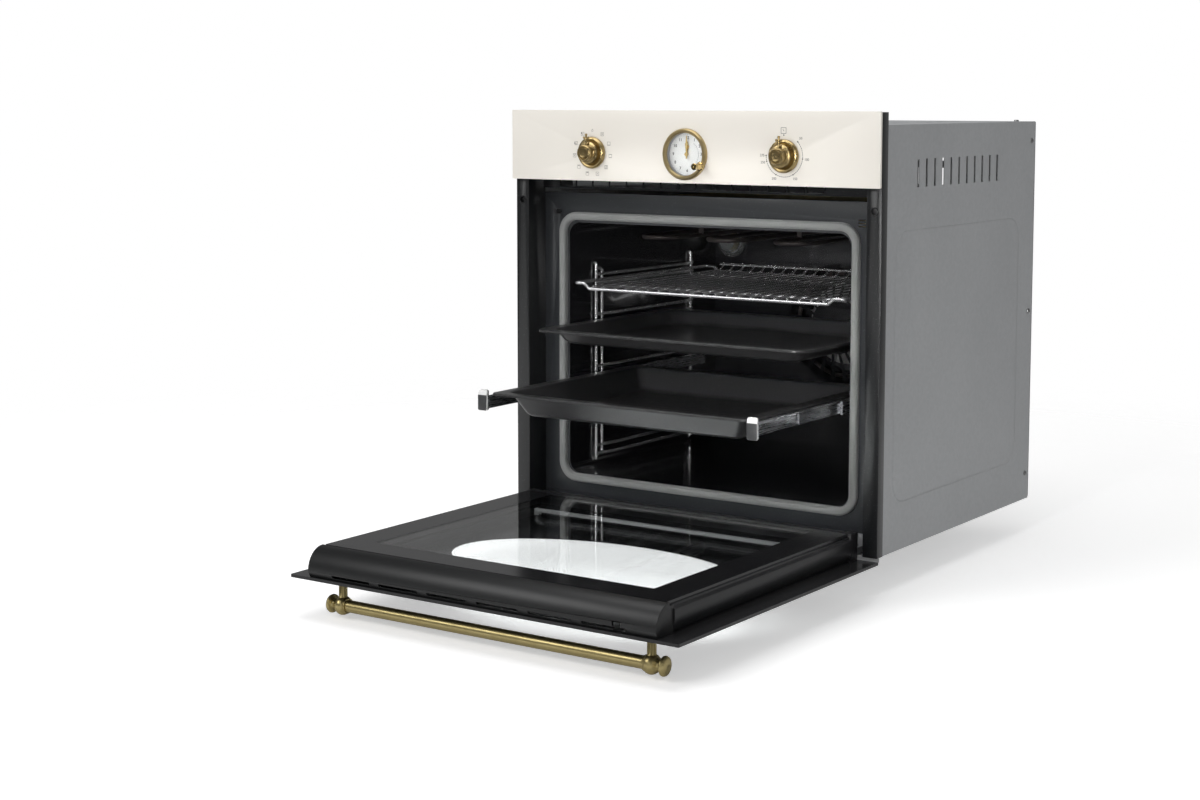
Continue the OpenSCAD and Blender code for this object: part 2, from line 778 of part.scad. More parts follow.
// The round edge of the top trim, as closed, in n steps from its top to its back
function bulge(n) = [for (i = [0 : n]) let (a = 90 * i / n)
    [trim_back - trim_bulge[0] * (1 - sin(a)), inner_top + 1 + trim_bulge[1] * cos(a)]];

module door_top_trim() color("dimgray") opened() {
    foot = door_top - 4;
    difference() {
        along_x(-trim_half, trim_half) polygon(concat(
            [[glass_back, trim_low], [glass_back, foot], [glass_back + 4, foot + 2]],
            bulge(8),
            [[trim_back, inner_top], [door_back - glass_t, inner_top], [door_back - glass_t, trim_low]]
        ));
        along_x(-trim_half + 2.5, trim_half - 2.5) polygon([
            [glass_back + 2, trim_low - 1], [glass_back + 2, foot - 2], [glass_back + 10, foot],
            [2, foot - 1], [9, inner_top + 14], [10.5, inner_top + 3], [10.5, trim_low - 1]
        ]);
        for (i = [0 : 5]) {
            x = -226 + i * 77.5;
            box([x, x + 62], [glass_back + 3, glass_back + 6.8], [foot - 8, door_top + 5]);
        }
        box([205, 217], [-22, -8], [foot - 3, door_top + 5]);
        for (x = [-handle_pitch / 2, handle_pitch / 2])
            disc_y(x, handle_z, glass_back - 1, glass_back + 7, washer_r + gap);
    }
}

module door_bottom_rail() color("black") opened() difference() {
    along_x(-rail_half, rail_half) polygon([
        [glass_back, rail_foot], [door_back - 4, rail_foot], [door_back - 0.6, rail_foot + 4],
        [door_back - 0.6, inner_z - 0.2], [glass_back, inner_z - 0.2]
    ]);
    along_x(-rail_half + 30, rail_half - 30) polygon([
        [glass_back + 3, rail_foot + 3], [door_back - 5, rail_foot + 3], [door_back - 4, inner_z + 1],
        [glass_back + 3, inner_z + 1]
    ]);
    both_sides() {
        box([hinge_x - 8, hinge_x + 8], [glass_back - 1, -hinge_out + 12], [rail_foot - 1, inner_z + 1]);
        box([hinge_x - 3, hinge_x + 3], [-hinge_out, door_back + 1], [rail_foot - 1, hinge_z + eye_r + 1]);
    }
}

// The fixed hinge half: a case behind the frame and a nose with the pin's bore
module hinge_case(side) color("silver") on_side(side) difference() {
    y0 = frame_back + sill_back;
    union() {
        box([hinge_x - 6, hinge_x + 6], [y0, y0 + 80], [sheet, sill_z - 2]);
        box([hinge_x - nose_t / 2, hinge_x + nose_t / 2], [-hinge_out, y0 + 1], [hinge_z - eye_r, hinge_z + eye_r]);
        translate([hinge_x - nose_t / 2, -hinge_out, hinge_z]) rotate([0, 90, 0]) cylinder(r = eye_r, h = nose_t);
    }
    translate([hinge_x - 10, -hinge_out, hinge_z]) rotate([0, 90, 0]) cylinder(r = pin_r + run, h = 20);
    box([hinge_x - 4.8, hinge_x + 4.8], [y0 + 2, y0 + 82], [sheet + 2, sill_z]);
}

// The door's hinge half: two cheeks with the pin between them, and the leg inside the door
module hinge_arm(side) color("silver") opened() on_side(side) {
    cheek = nose_t / 2 + gap;
    thick = 2.4;
    for (x = [hinge_x - cheek - thick, hinge_x + cheek]) {
        translate([x, -hinge_out, hinge_z]) rotate([0, 90, 0]) cylinder(r = eye_r, h = thick);
        box([x, x + thick], [-hinge_out - 3, -hinge_out + 4], [hinge_z, inner_z + 36]);
    }
    translate([hinge_x - cheek - thick, -hinge_out, hinge_z]) rotate([0, 90, 0])
        cylinder(r = pin_r, h = 2 * (cheek + thick));
    box([hinge_x - cheek - thick, hinge_x + cheek + thick], [-hinge_out - 3, -hinge_out + 4], [inner_z, inner_z + 36]);
}

// Handle

// Turns a profile of distance along X and radius about the handle's axis
module on_handle_axis(x, side) {
    translate([x, -door_out - handle_gap, handle_z]) rotate([0, 90 * side, 0]) rotate_extrude($fn = 64) children();
}

module handle_bar() color("darkgoldenrod") opened() {
    half = handle_pitch / 2 - 9;
    translate([-half, -door_out - handle_gap, handle_z]) rotate([0, 90, 0]) cylinder(r = handle_d / 2, h = 2 * half);
}

// Post, ball, collar and finial at one end of the handle
module handle_post(side) color("darkgoldenrod") opened() {
    x = side * handle_pitch / 2;
    on_handle_axis(x, side) polygon([
        [0, -9], [9.6, -9], [10, -8], [9.4, -6.6], [10.6, -4.6], [11.3, -2.4], [11.6, 0], [11.3, 2.5], [10.5, 4.8],
        [9.3, 6.9], [7.6, 8.8], [6.2, 10], [5.6, 12], [6.2, 14], [10.5, 15.2], [12, 16.6], [12.2, 18], [11.4, 20],
        [8.5, 21.8], [4, 22.6], [0, 22.8]
    ]);
    disc_y(x, handle_z, -door_out - handle_gap, -door_out, 5.5);
    disc_y(x, handle_z, -door_out - 1, glass_back + 6, bolt_r);
    disc_y(x, handle_z, glass_back, glass_back + 3, washer_r);
}

// Knobs, hands and other small movers

// A turned knob: round foot ring, stepped body, grooved cap, a three-leaf pointer and a shaft
module control_knob(x) color("goldenrod") {
    foot = -panel_out - gap;
    lift = 15.2;
    turned(x, foot, knob_z) polygon([
        [0, 0], [21.4, 0], [22.4, 0.8], [knob_r, 2.2], [22.2, 4], [21, 5.5], [19.4, 6.1], [17.8, 5.5], [16.4, 4.4],
        [15.2, 4.3], [14.8, 5.4], [14.6, 8.6], [15.4, 9.4], [15.6, 10.6], [14.8, 11.8], [13, 12.3], [11.2, 12.6],
        [10.4, 13], [10.4, 17.2], [11.3, 17.8], [11.5, 19.4], [11.3, 21.2], [10.6, 22.4], [9.7, 22.8],
        [9.1, 22.1], [8.3, 22.1], [7.6, 23], [6.4, 23], [5.7, 22.2], [3.8, 21.9], [0, 21.8]
    ]);
    disc_y(x, knob_z, foot - 2, 4, pin_r);
    rod([x, foot - lift, knob_z + 8], [x, foot - lift, knob_z + 24.4], 1.5);
    translate([x, foot - lift, knob_z + 25.4]) sphere(r = 1.9, $fn = 24);
    for (side = [-1, 1]) {
        rod([x, foot - lift, knob_z + 17.2], [x + side * 3.7, foot - lift, knob_z + 21.4], 1.4);
        translate([x + side * 3.7, foot - lift, knob_z + 21.4]) sphere(r = 1.7, $fn = 24);
    }
}

module function_knob() control_knob(-knob_x);

module thermostat_knob() control_knob(knob_x);

module clock_knob() color("goldenrod") {
    turned(setter_x, clock_front - gap, setter_z) polygon([
        [0, 0], [6, 0], [6, 2], [4.6, 3.4], [4, 6], [4, 12], [4.6, 14.4], [4.75, 16], [4, 17], [0, 17.2]
    ]);
    disc_y(setter_x, setter_z, clock_front - 1, clock_front + 3.2, 1.5);
}

module minute_hand() color("goldenrod") {
    y = dial_y - 3;
    disc_y(0, knob_z, y, dial_y + 8, 1);
    disc_y(0, knob_z, y - 0.8, y + 0.8, 2.6);
    along_y(y, y + 0.8) translate([0, knob_z]) polygon([
        [-1, -6], [1, -6], [1.1, 6], [2, 14], [1, 17], [0.6, 24], [0, 26], [-0.6, 24], [-1, 17], [-2, 14], [-1.1, 6]
    ]);
}

module hour_hand() color("goldenrod") {
    y = dial_y - 1.6;
    along_y(y, y + 0.8) difference() {
        translate([0, knob_z]) rotate(-4) union() {
            polygon([[-1.2, -4], [1.2, -4], [1.3, 5], [2.6, 11], [0.9, 14], [0, 18], [-0.9, 14], [-2.6, 11], [-1.3, 5]]);
            circle(2.6);
        }
        translate([0, knob_z]) circle(1 + run);
    }
}

module door_switch_pin() color("gray") {
    disc_y(switch_x, switch_z, frame_y - switch_out, frame_y + 12, switch_r);
    disc_y(switch_x, switch_z, frame_back + 6, frame_back + 8, 5);
}

// A hot-air wheel: back plate, front ring and radial blades
module fan_impeller() color("silver") {
    r = 64;
    y0 = 439;
    y1 = 455;
    blades = 20;
    disc_y(0, fan_z, y1, y1 + 1, r);
    disc_y(0, fan_z, y0 + 4, y1, 9);
    disc_y(0, fan_z, y1, pan_back + 26, pin_r);
    for (i = [0 : blades - 1]) translate([0, 0, fan_z]) rotate([0, i * 360 / blades, 0])
        box([38, r - 1], [y0, y1 + 0.5], [-0.6, 0.6]);
}

module blower_rotor() color("dimgray") translate([0, blower_y, 0]) {
    r = 56;
    z0 = blower_z + 6;
    z1 = scroll_top - 14;
    blades = 24;
    translate([0, 0, z0]) cylinder(r = r, h = 1.5);
    translate([0, 0, z0]) cylinder(r = 8, h = z1 - z0);
    translate([0, 0, z0]) cylinder(r = pin_r, h = scroll_top + 12 - z0);
    for (i = [0 : blades - 1]) rotate([0, 0, i * 360 / blades]) box([40, r], [-0.6, 0.6], [z0, z1]);
}

// The cable's terminal box, with its round inlet through the rear cover
module terminal_block() color("ghostwhite") difference() {
    y = body_d - sheet;
    union() {
        box([terminal_x - 28, terminal_x + 28], [y - 34, y], [terminal_z - 24, terminal_z + 24]);
        disc_y(terminal_x, terminal_z, y - 1, body_d + 3, inlet_collar_r);
    }
    disc_y(terminal_x, terminal_z, y - 20, body_d + 4, inlet_r);
}

housing_base();
housing_wrap();
housing_rear();
side_strip(-1);  // side_strip_left
side_strip(1);  // side_strip_right
front_frame();
air_outlet();
cavity_liner();
cavity_rear();
cavity_gasket();
fan_cover();
ring_element();
grill_element();
base_element();
fan_motor();
lamp_glass();
insulation();
blower_housing();
panel_glass();
panel_carrier();
clock_bezel();
clock_case();
clock_glass();
function_switch();
thermostat();
side_rack(-1);  // side_rack_left
side_rack(1);  // side_rack_right
rail_outer(-1);  // rail_outer_left
rail_outer(1);  // rail_outer_right
hinge_case(-1);  // hinge_case_left
hinge_case(1);  // hinge_case_right
terminal_block();
door_glass_outer();
door_glass_mid();
door_glass_inner();
door_side(-1);  // door_side_left
door_side(1);  // door_side_right
door_top_trim();
door_bottom_rail();
hinge_arm(-1);  // hinge_arm_left
hinge_arm(1);  // hinge_arm_right
handle_bar();
handle_post(-1);  // handle_post_left
handle_post(1);  // handle_post_right
rail_mid(-1);  // rail_mid_left
rail_mid(1);  // rail_mid_right
rail_inner(-1);  // rail_inner_left
rail_inner(1);  // rail_inner_right
deep_tray();
shallow_tray();
wire_rack();
function_knob();
thermostat_knob();
clock_knob();
minute_hand();
hour_hand();
door_switch_pin();
fan_impeller();
blower_rotor();
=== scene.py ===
"""The looks of a built-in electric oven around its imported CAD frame. Metres; the door is drawn open."""
import math

import bmesh
import bpy
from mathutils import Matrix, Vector


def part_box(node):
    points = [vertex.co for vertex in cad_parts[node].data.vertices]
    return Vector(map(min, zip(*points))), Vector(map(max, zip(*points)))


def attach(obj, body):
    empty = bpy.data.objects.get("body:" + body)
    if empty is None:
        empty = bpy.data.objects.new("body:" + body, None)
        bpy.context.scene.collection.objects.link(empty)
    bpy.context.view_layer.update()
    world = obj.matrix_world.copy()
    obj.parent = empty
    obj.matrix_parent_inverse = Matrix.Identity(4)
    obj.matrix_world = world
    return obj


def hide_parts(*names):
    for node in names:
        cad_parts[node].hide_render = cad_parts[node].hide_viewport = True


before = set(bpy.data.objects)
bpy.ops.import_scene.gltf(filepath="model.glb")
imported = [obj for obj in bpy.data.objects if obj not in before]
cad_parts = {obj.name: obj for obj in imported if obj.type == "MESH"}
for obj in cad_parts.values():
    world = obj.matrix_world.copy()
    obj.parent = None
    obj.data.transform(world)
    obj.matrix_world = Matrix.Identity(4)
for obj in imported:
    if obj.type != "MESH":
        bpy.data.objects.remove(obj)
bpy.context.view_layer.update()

MM = 0.001


# Places on the CAD nodes, in millimetres

def box_of(node):
    """The lowest and highest corner of a CAD node."""
    return [[round(c / MM, 2) for c in corner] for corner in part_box(node)]


def centre_of(node):
    """The centre of a CAD node's box."""
    return [(low + high) / 2 for low, high in zip(*box_of(node))]


PANEL_FACE = box_of("panel_glass")[0][1]
DIAL_FACE = box_of("clock_case")[0][1]
KNOB_X, KNOB_Z = centre_of("thermostat")[::2]
PRINT_THICK = 0.05

# The turn, in radians, that makes a piece drawn to face the top face another side
QUARTER = math.pi / 2
FACING = {"top": (0, 0, 0), "front": (QUARTER, 0, 0), "rear": (-QUARTER, 0, 0),
          "left": (0, -QUARTER, 0), "right": (0, QUARTER, 0)}
SIDES = ((-1, "left"), (1, "right"))


# Modelling

def only(piece):
    """Selects one piece and nothing else."""
    bpy.ops.object.select_all(action="DESELECT")
    piece.select_set(True)
    bpy.context.view_layer.objects.active = piece


def open_mesh(piece):
    """Starts edit mode on one piece, with nothing selected."""
    only(piece)
    bpy.ops.object.mode_set(mode="EDIT")
    bpy.ops.mesh.select_all(action="DESELECT")


def place_in_mesh():
    """Moves the selected piece's place, turn and scale into its mesh."""
    bpy.ops.object.transform_apply(location=True, rotation=True, scale=True)


def blank(name, centre, size, facing="top"):
    """A flat rectangle in edit mode, with nothing selected; the centre and size are in millimetres."""
    bpy.ops.object.select_all(action="DESELECT")
    bpy.ops.mesh.primitive_plane_add(size=MM, location=[c * MM for c in centre], rotation=FACING[facing])
    piece = bpy.context.object
    piece.name = name
    piece.scale = (*size, 1)
    place_in_mesh()
    open_mesh(piece)
    return piece


SELECT_MODES = {"faces": "FACE", "edges": "EDGE", "verts": "VERT"}


def pick(piece, kind, test=None):
    """Selects the faces, edges or verts whose middle, in millimetres, passes the test, or all of them."""
    bpy.ops.mesh.select_mode(type=SELECT_MODES[kind])
    bpy.ops.mesh.select_all(action="DESELECT")
    shape = bmesh.from_edit_mesh(piece.data)
    for item in getattr(shape, kind):
        verts = [item] if kind == "verts" else item.verts
        middle = sum((v.co for v in verts), Vector()) / len(verts) / MM
        if test is None or test(middle, item):
            item.select_set(True)
    shape.select_flush_mode()
    bmesh.update_edit_mesh(piece.data)


def folded(edge, axis, least):
    """Whether the normals of an edge's two faces differ along an axis, from 0 to 2, by more than least."""
    faces = edge.link_faces
    return len(faces) == 2 and abs(faces[0].normal[axis] - faces[1].normal[axis]) > least


# These change what is selected in edit mode; their lengths are in millimetres

def move(x=0, y=0, z=0):
    bpy.ops.transform.translate(value=(x * MM, y * MM, z * MM))


def extrude(x=0, y=0, z=0):
    bpy.ops.mesh.extrude_region_move(TRANSFORM_OT_translate={"value": (x * MM, y * MM, z * MM)})


def stretch(x, y, z, centre):
    bpy.ops.transform.resize(value=(x, y, z), center_override=[c * MM for c in centre])


def inset(width):
    bpy.ops.mesh.inset(thickness=width * MM)


def bevel(width, segments=3, corners=False):
    bpy.ops.mesh.bevel(offset=width * MM, segments=segments, affect="VERTICES" if corners else "EDGES")


def split_at(x):
    """Cuts the whole mesh in edit mode across at x, and keeps both sides."""
    bpy.ops.mesh.select_all(action="SELECT")
    bpy.ops.mesh.bisect(plane_co=(x * MM, 0, 0), plane_no=(1, 0, 0))


def turn_outwards():
    """Makes all faces of the mesh in edit mode point outwards."""
    bpy.ops.mesh.select_all(action="SELECT")
    bpy.ops.mesh.normals_make_consistent(inside=False)


def close_mesh(piece, angle=35):
    """Ends edit mode, puts the piece's place in its mesh and shades its soft folds round."""
    bpy.ops.object.mode_set(mode="OBJECT")
    only(piece)
    place_in_mesh()
    bpy.ops.object.shade_smooth_by_angle(angle=math.radians(angle))


def apply(piece, kind, **settings):
    """Adds a modifier to a piece and applies it."""
    only(piece)
    modifier = piece.modifiers.new(kind.title(), kind)
    for name, value in settings.items():
        setattr(modifier, name, value)
    bpy.ops.object.modifier_apply(modifier=modifier.name)


def wall(piece, thick, offset, edge):
    """Ends edit mode and makes a sheet solid, with its edges rounded off."""
    bpy.ops.object.mode_set(mode="OBJECT")
    apply(piece, "SOLIDIFY", thickness=thick * MM, offset=offset)
    apply(piece, "BEVEL", width=edge * MM, segments=2)


def finish(piece, body, slot, material, *nodes):
    """Gives a new piece its finish, the body it rides on and the CAD nodes it stands for."""
    piece.data.materials.clear()
    piece.data.materials.append(material)
    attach(piece, body)
    if nodes:
        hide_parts(*nodes)


def join(name, pieces):
    """Joins several meshes into one piece."""
    bpy.ops.object.select_all(action="DESELECT")
    for piece in pieces:
        piece.select_set(True)
    bpy.context.view_layer.objects.active = pieces[0]
    bpy.ops.object.join()
    pieces[0].name = name
    return pieces[0]


def eased(node, body, slot, material, width, segments=2, angle=30, shape=None):
    """A copy of a CAD node with its edges rounded, to catch the light as pressed and moulded edges do;
    shape, if given, moves some of its corners first."""
    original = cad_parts[node]
    piece = original.copy()
    piece.data = original.data.copy()
    piece.name = node + ".eased"
    piece.parent = None
    piece.matrix_world = original.matrix_world
    for key in list(piece.keys()):
        del piece[key]
    bpy.context.scene.collection.objects.link(piece)
    only(piece)
    place_in_mesh()
    open_mesh(piece)
    bpy.ops.mesh.select_all(action="SELECT")
    bpy.ops.mesh.remove_doubles(threshold=0.02 * MM)
    bpy.ops.mesh.dissolve_limited(angle_limit=math.radians(0.5))
    bpy.ops.mesh.normals_make_consistent(inside=False)
    if shape:
        shape(piece)
    bpy.ops.object.mode_set(mode="OBJECT")
    apply(piece, "BEVEL", width=width * MM, segments=segments, limit_method="ANGLE",
          angle_limit=math.radians(angle), use_clamp_overlap=True)
    bpy.ops.object.shade_smooth_by_angle(angle=math.radians(angle))
    finish(piece, body, slot, material, node)


# Flat prints, which face the front

def start_print(name):
    """An empty mesh in edit mode, for flat marks that are added one by one."""
    piece = blank(name, (0, 0, 0), (1, 1))
    bpy.ops.mesh.select_all(action="SELECT")
    bpy.ops.mesh.delete(type="VERT")
    return piece


def bar(x, y, z, length, width, turn=0):
    """Adds a bar; turn is in degrees, anticlockwise."""
    place = (x * MM, y * MM, z * MM)
    bpy.ops.mesh.select_all(action="DESELECT")
    bpy.ops.mesh.primitive_plane_add(size=MM, location=place, rotation=FACING["front"])
    bpy.ops.transform.resize(value=(length, 1, width), center_override=place)
    bpy.ops.transform.rotate(value=math.radians(turn), orient_axis="Y", center_override=place)


def dot(x, y, z, r, sides=12):
    """Adds a round dot."""
    bpy.ops.mesh.select_all(action="DESELECT")
    bpy.ops.mesh.primitive_circle_add(vertices=sides, radius=r * MM, fill_type="NGON",
                                      location=(x * MM, y * MM, z * MM), rotation=FACING["front"])


def ring(x, y, z, r, width, sides=32):
    """Adds a ring."""
    dot(x, y, z, r, sides)
    inset(width)
    bpy.ops.mesh.delete(type="FACE")


def square(x, y, z, half, upright, level, width):
    """Adds the outline of a square; upright and level are the lengths of its lines."""
    for side in (-1, 1):
        bar(x + side * half, y, z, upright, width, 90)
        bar(x, y, z + side * half, level, width)


def polar(x, z, r, clock):
    """The place at radius r and at an angle in degrees, clockwise from the top."""
    return x + r * math.sin(math.radians(clock)), z + r * math.cos(math.radians(clock))


def end_print(piece):
    """Ends edit mode and gives the marks the thickness of the print, towards the front."""
    bpy.ops.object.mode_set(mode="OBJECT")
    apply(piece, "SOLIDIFY", thickness=PRINT_THICK * MM, offset=1)


def lettering(text, x, y, z, height, bold):
    """Upright numerals as a thin mesh; bold is how far their strokes swell."""
    bpy.ops.object.select_all(action="DESELECT")
    bpy.ops.object.text_add(location=(0, 0, 0))
    words = bpy.context.object
    words.data.body = text
    words.data.align_x, words.data.align_y = "CENTER", "CENTER"
    words.data.size = height * MM
    words.data.extrude = PRINT_THICK / 2 * MM
    words.data.offset = bold * MM
    words.data.resolution_u = 3
    bpy.ops.object.convert(target="MESH")
    words.rotation_euler = FACING["front"]
    words.location = (x * MM, (y - PRINT_THICK / 2) * MM, z * MM)
    place_in_mesh()
    return words


# Finishes

class Value:
    """A shader socket that can be used in sums; each operator adds its Math node."""

    def __init__(self, nodes, socket):
        self.nodes, self.socket = nodes, socket

    def math(self, operation, *values):
        return self.nodes.node("ShaderNodeMath", {"operation": operation}, values)

    def __add__(self, other):
        return self.math("ADD", self, other)

    def __radd__(self, other):
        return self.math("ADD", other, self)

    def __sub__(self, other):
        return self.math("SUBTRACT", self, other)

    def __rsub__(self, other):
        return self.math("SUBTRACT", other, self)

    def __mul__(self, other):
        return self.math("MULTIPLY", self, other)

    def __rmul__(self, other):
        return self.math("MULTIPLY", other, self)

    def __truediv__(self, other):
        return self.math("DIVIDE", self, other)

    def __rtruediv__(self, other):
        return self.math("DIVIDE", other, self)

    def __pow__(self, other):
        return self.math("POWER", self, other)

    def __rpow__(self, other):
        return self.math("POWER", other, self)

    def __lt__(self, other):
        return self.math("LESS_THAN", self, other)

    def __gt__(self, other):
        return self.math("GREATER_THAN", self, other)

    def __abs__(self):
        return self.math("ABSOLUTE", self)

    def sin(self):
        return self.math("SINE", self)

    def most(self, other):
        return self.math("MAXIMUM", self, other)

    def below(self, limit, soft):
        """1 well under the limit, 0 over it, with an edge of the given softness."""
        return self.nodes.node("ShaderNodeMapRange", {"interpolation_type": "SMOOTHSTEP"},
                               {"Value": self, "From Min": limit - soft, "From Max": limit + soft,
                                "To Min": 1.0, "To Max": 0.0})

    def above(self, limit, soft):
        return 1 - self.below(limit, soft)


class Nodes:
    """A node tree that grows by one node a call."""

    def __init__(self, tree):
        self.tree = tree

    def node(self, kind, settings=(), values=(), output=0):
        """Adds one node: first its settings, then the values or links of its sockets."""
        node = self.tree.nodes.new(kind)
        for name, value in dict(settings).items():
            setattr(node, name, value)
        pairs = values.items() if isinstance(values, dict) else enumerate(values)
        for key, value in pairs:
            if isinstance(value, Value):
                self.tree.links.new(value.socket, node.inputs[key])
            else:
                node.inputs[key].default_value = value
        return Value(self, node.outputs[output])

    def light_path(self, ray):
        return self.node("ShaderNodeLightPath", output=ray)

    def mix_shaders(self, factor, first, second):
        return self.node("ShaderNodeMixShader", {}, [factor, first, second])

    def show(self, shaded, output="Material Output"):
        self.tree.links.new(shaded.socket, self.tree.nodes[output].inputs["Surface"])


class Finish(Nodes):
    """A material in the making: a Principled shader with constants, and the nodes that vary it."""

    def __init__(self, name, colour, roughness, **constants):
        self.material = bpy.data.materials.new(name)
        self.material.use_nodes = True
        super().__init__(self.material.node_tree)
        self.shader = self.tree.nodes["Principled BSDF"]
        self.shader.inputs["Base Color"].default_value = (*colour, 1)
        self.shader.inputs["Roughness"].default_value = roughness
        for socket, value in constants.items():
            self.shader.inputs[socket.replace("_", " ")].default_value = value

    def surface(self):
        """What the Principled shader gives out."""
        return Value(self, self.shader.outputs[0])

    def coords(self, scale=(1, 1, 1)):
        """Object coordinates in metres, scaled along each axis."""
        place = self.node("ShaderNodeTexCoord", output="Object")
        return self.node("ShaderNodeMapping", {}, {"Vector": place, "Scale": scale})

    def axes(self):
        """The three coordinates in millimetres, each by itself."""
        place = self.node("ShaderNodeTexCoord", output="Object")
        return [self.node("ShaderNodeSeparateXYZ", (), [place], axis) * 1000 for axis in (0, 1, 2)]

    def noise(self, size, detail=2, stretch=(1, 1, 1), rough=0.5):
        """Soft noise with features of about the given size in millimetres, from 0 to 1."""
        return self.node("ShaderNodeTexNoise", {}, {"Vector": self.coords(stretch), "Scale": 1000 / size,
                                                    "Detail": detail, "Roughness": rough})

    def cells(self, size, output):
        """Random cells of the given size in millimetres: their Color, or the Distance to their middle."""
        return self.node("ShaderNodeTexVoronoi", {"feature": "F1"},
                         {"Vector": self.coords(), "Scale": 1000 / size}, output)

    def flecks(self, size, reach):
        """Small round flecks, one in a cell of the given size in millimetres."""
        return self.cells(size, "Distance").below(reach, reach * 0.5)

    def grey_cells(self, size):
        """Random grey cells of the given size in millimetres."""
        return self.node("ShaderNodeSeparateColor", (), [self.cells(size, "Color")])

    def blend(self, factor, first, second):
        """A colour between two colours; 6 and 7 are the mix node's colour sockets, 2 is its colour output."""
        colours = [value if isinstance(value, Value) else (*value, 1) for value in (first, second)]
        return self.node("ShaderNodeMix", {"data_type": "RGBA"}, {0: factor, 6: colours[0], 7: colours[1]}, 2)

    def vary(self, socket, value):
        self.tree.links.new(value.socket, self.shader.inputs[socket])
        return self

    def bump(self, height, depth, strength=1.0):
        """Raises the surface by height, where 1 stands for the given depth in millimetres."""
        return self.vary("Normal", self.node("ShaderNodeBump", {}, {"Height": height, "Strength": strength,
                                                                    "Distance": depth * MM}))


def sheet_metal():
    f = Finish("galvanised sheet", (0.42, 0.43, 0.44), 0.55, Metallic=0.3)
    spangle, soft = f.grey_cells(5), f.noise(120, 3)
    f.vary("Base Color", f.blend(spangle * 0.3 + soft * 0.5, (0.4, 0.41, 0.42), (0.52, 0.53, 0.54)))
    f.vary("Roughness", 0.48 + spangle * 0.08 + soft * 0.1)
    return f.bump(soft, 0.08).material


def anthracite(name, low, high):
    f = Finish(name, low, 0.3, Coat_Weight=0.3, Coat_Roughness=0.18)
    soft = f.noise(90, 3)
    fleck = f.flecks(4, 0.13) * f.noise(20, 1)
    f.vary("Base Color", f.blend(fleck * 0.5, f.blend(soft, low, high), (0.16, 0.17, 0.18)))
    f.vary("Roughness", 0.26 + f.noise(3, 2) * 0.12)
    return f.bump(f.noise(1.4, 2), 0.012).material


def black_enamel():
    f = Finish("black enamel", (0.006, 0.006, 0.007), 0.12, Coat_Weight=0.6, Coat_Roughness=0.06)
    fleck = f.flecks(5, 0.1) * f.noise(15, 1)
    f.vary("Base Color", f.blend(fleck * 0.4, (0.012, 0.012, 0.0135), (0.1, 0.11, 0.12)))
    f.vary("Roughness", 0.1 + f.noise(6, 3) * 0.14)
    return f.bump(f.noise(5, 3), 0.03).material


def tray_enamel():
    f = Finish("tray enamel", (0.03, 0.03, 0.03), 0.3, Coat_Weight=0.15, Coat_Roughness=0.2, IOR=1.38)
    soft, fleck = f.noise(120, 4), f.flecks(3.4, 0.14) * f.noise(25, 1)
    f.vary("Base Color", f.blend(fleck * 0.4, f.blend(soft, (0.021, 0.021, 0.0215), (0.03, 0.03, 0.031)),
                                 (0.15, 0.155, 0.16)))
    f.vary("Roughness", 0.24 + f.noise(8, 3) * 0.14)
    return f.bump(f.noise(2.2, 2), 0.012).material


def braid():
    f = Finish("braided gasket", (0.3, 0.31, 0.3), 0.65, Sheen_Weight=0.3)
    x, y, z = f.axes()
    one = ((x + z + y) * 2.6).sin()
    two = ((x - z - y) * 2.6).sin()
    weave = one * two * 0.5 + 0.5
    soft = f.noise(40, 2)
    f.vary("Base Color", f.blend(weave * 0.5 + soft * 0.5, (0.145, 0.151, 0.148), (0.27, 0.274, 0.268)))
    f.vary("Roughness", 0.5 + weave * 0.2)
    return f.bump(weave + f.noise(0.6, 1) * 0.3, 0.25, 0.7).material


def oxide():
    f = Finish("heater tube", (0.03, 0.027, 0.026), 0.5, Metallic=0.6)
    f.vary("Base Color", f.blend(f.noise(30, 3), (0.018, 0.016, 0.018), (0.06, 0.05, 0.045)))
    f.vary("Roughness", 0.38 + f.noise(2, 2) * 0.25)
    return f.bump(f.noise(1, 2), 0.02).material


def motor_steel():
    f = Finish("motor steel", (0.35, 0.35, 0.35), 0.4, Metallic=1.0)
    f.vary("Base Color", f.blend(f.noise(25, 3), (0.26, 0.26, 0.26), (0.42, 0.42, 0.42)))
    f.vary("Roughness", 0.3 + f.noise(3, 2, (1, 6, 1)) * 0.25)
    return f.bump(f.noise(2, 2), 0.02).material


def wool():
    f = Finish("mineral wool", (0.5, 0.42, 0.24), 0.95)
    fibre = f.noise(3, 5, (0.3, 1, 2), 0.7)
    f.vary("Base Color", f.blend(fibre, (0.3, 0.24, 0.12), (0.66, 0.58, 0.36)))
    f.vary("Roughness", 0.85 + fibre * 0.1)
    return f.bump(fibre, 1.5).material


def ivory():
    f = Finish("ivory enamel", (0.87, 0.84, 0.775), 0.26, Coat_Weight=0.3, Coat_Roughness=0.22)
    f.vary("Base Color", f.blend(f.noise(160, 2), (0.875, 0.835, 0.765), (0.9, 0.862, 0.795)))
    f.vary("Roughness", 0.22 + f.noise(60, 2) * 0.04)
    return f.bump(f.noise(30, 1), 0.003).material


def antique_brass(name, light, dark, roughness):
    f = Finish(name, light, roughness, Metallic=1.0)
    cloud, grain = f.noise(22, 3), f.noise(0.9, 2, (1, 6, 1))
    worn = (cloud * 0.9 + grain * 0.2).above(0.6, 0.25)
    f.vary("Base Color", f.blend(worn * 0.4, light, dark))
    f.vary("Roughness", roughness + worn * 0.08 + grain * 0.08)
    return f.bump(grain, 0.006).material


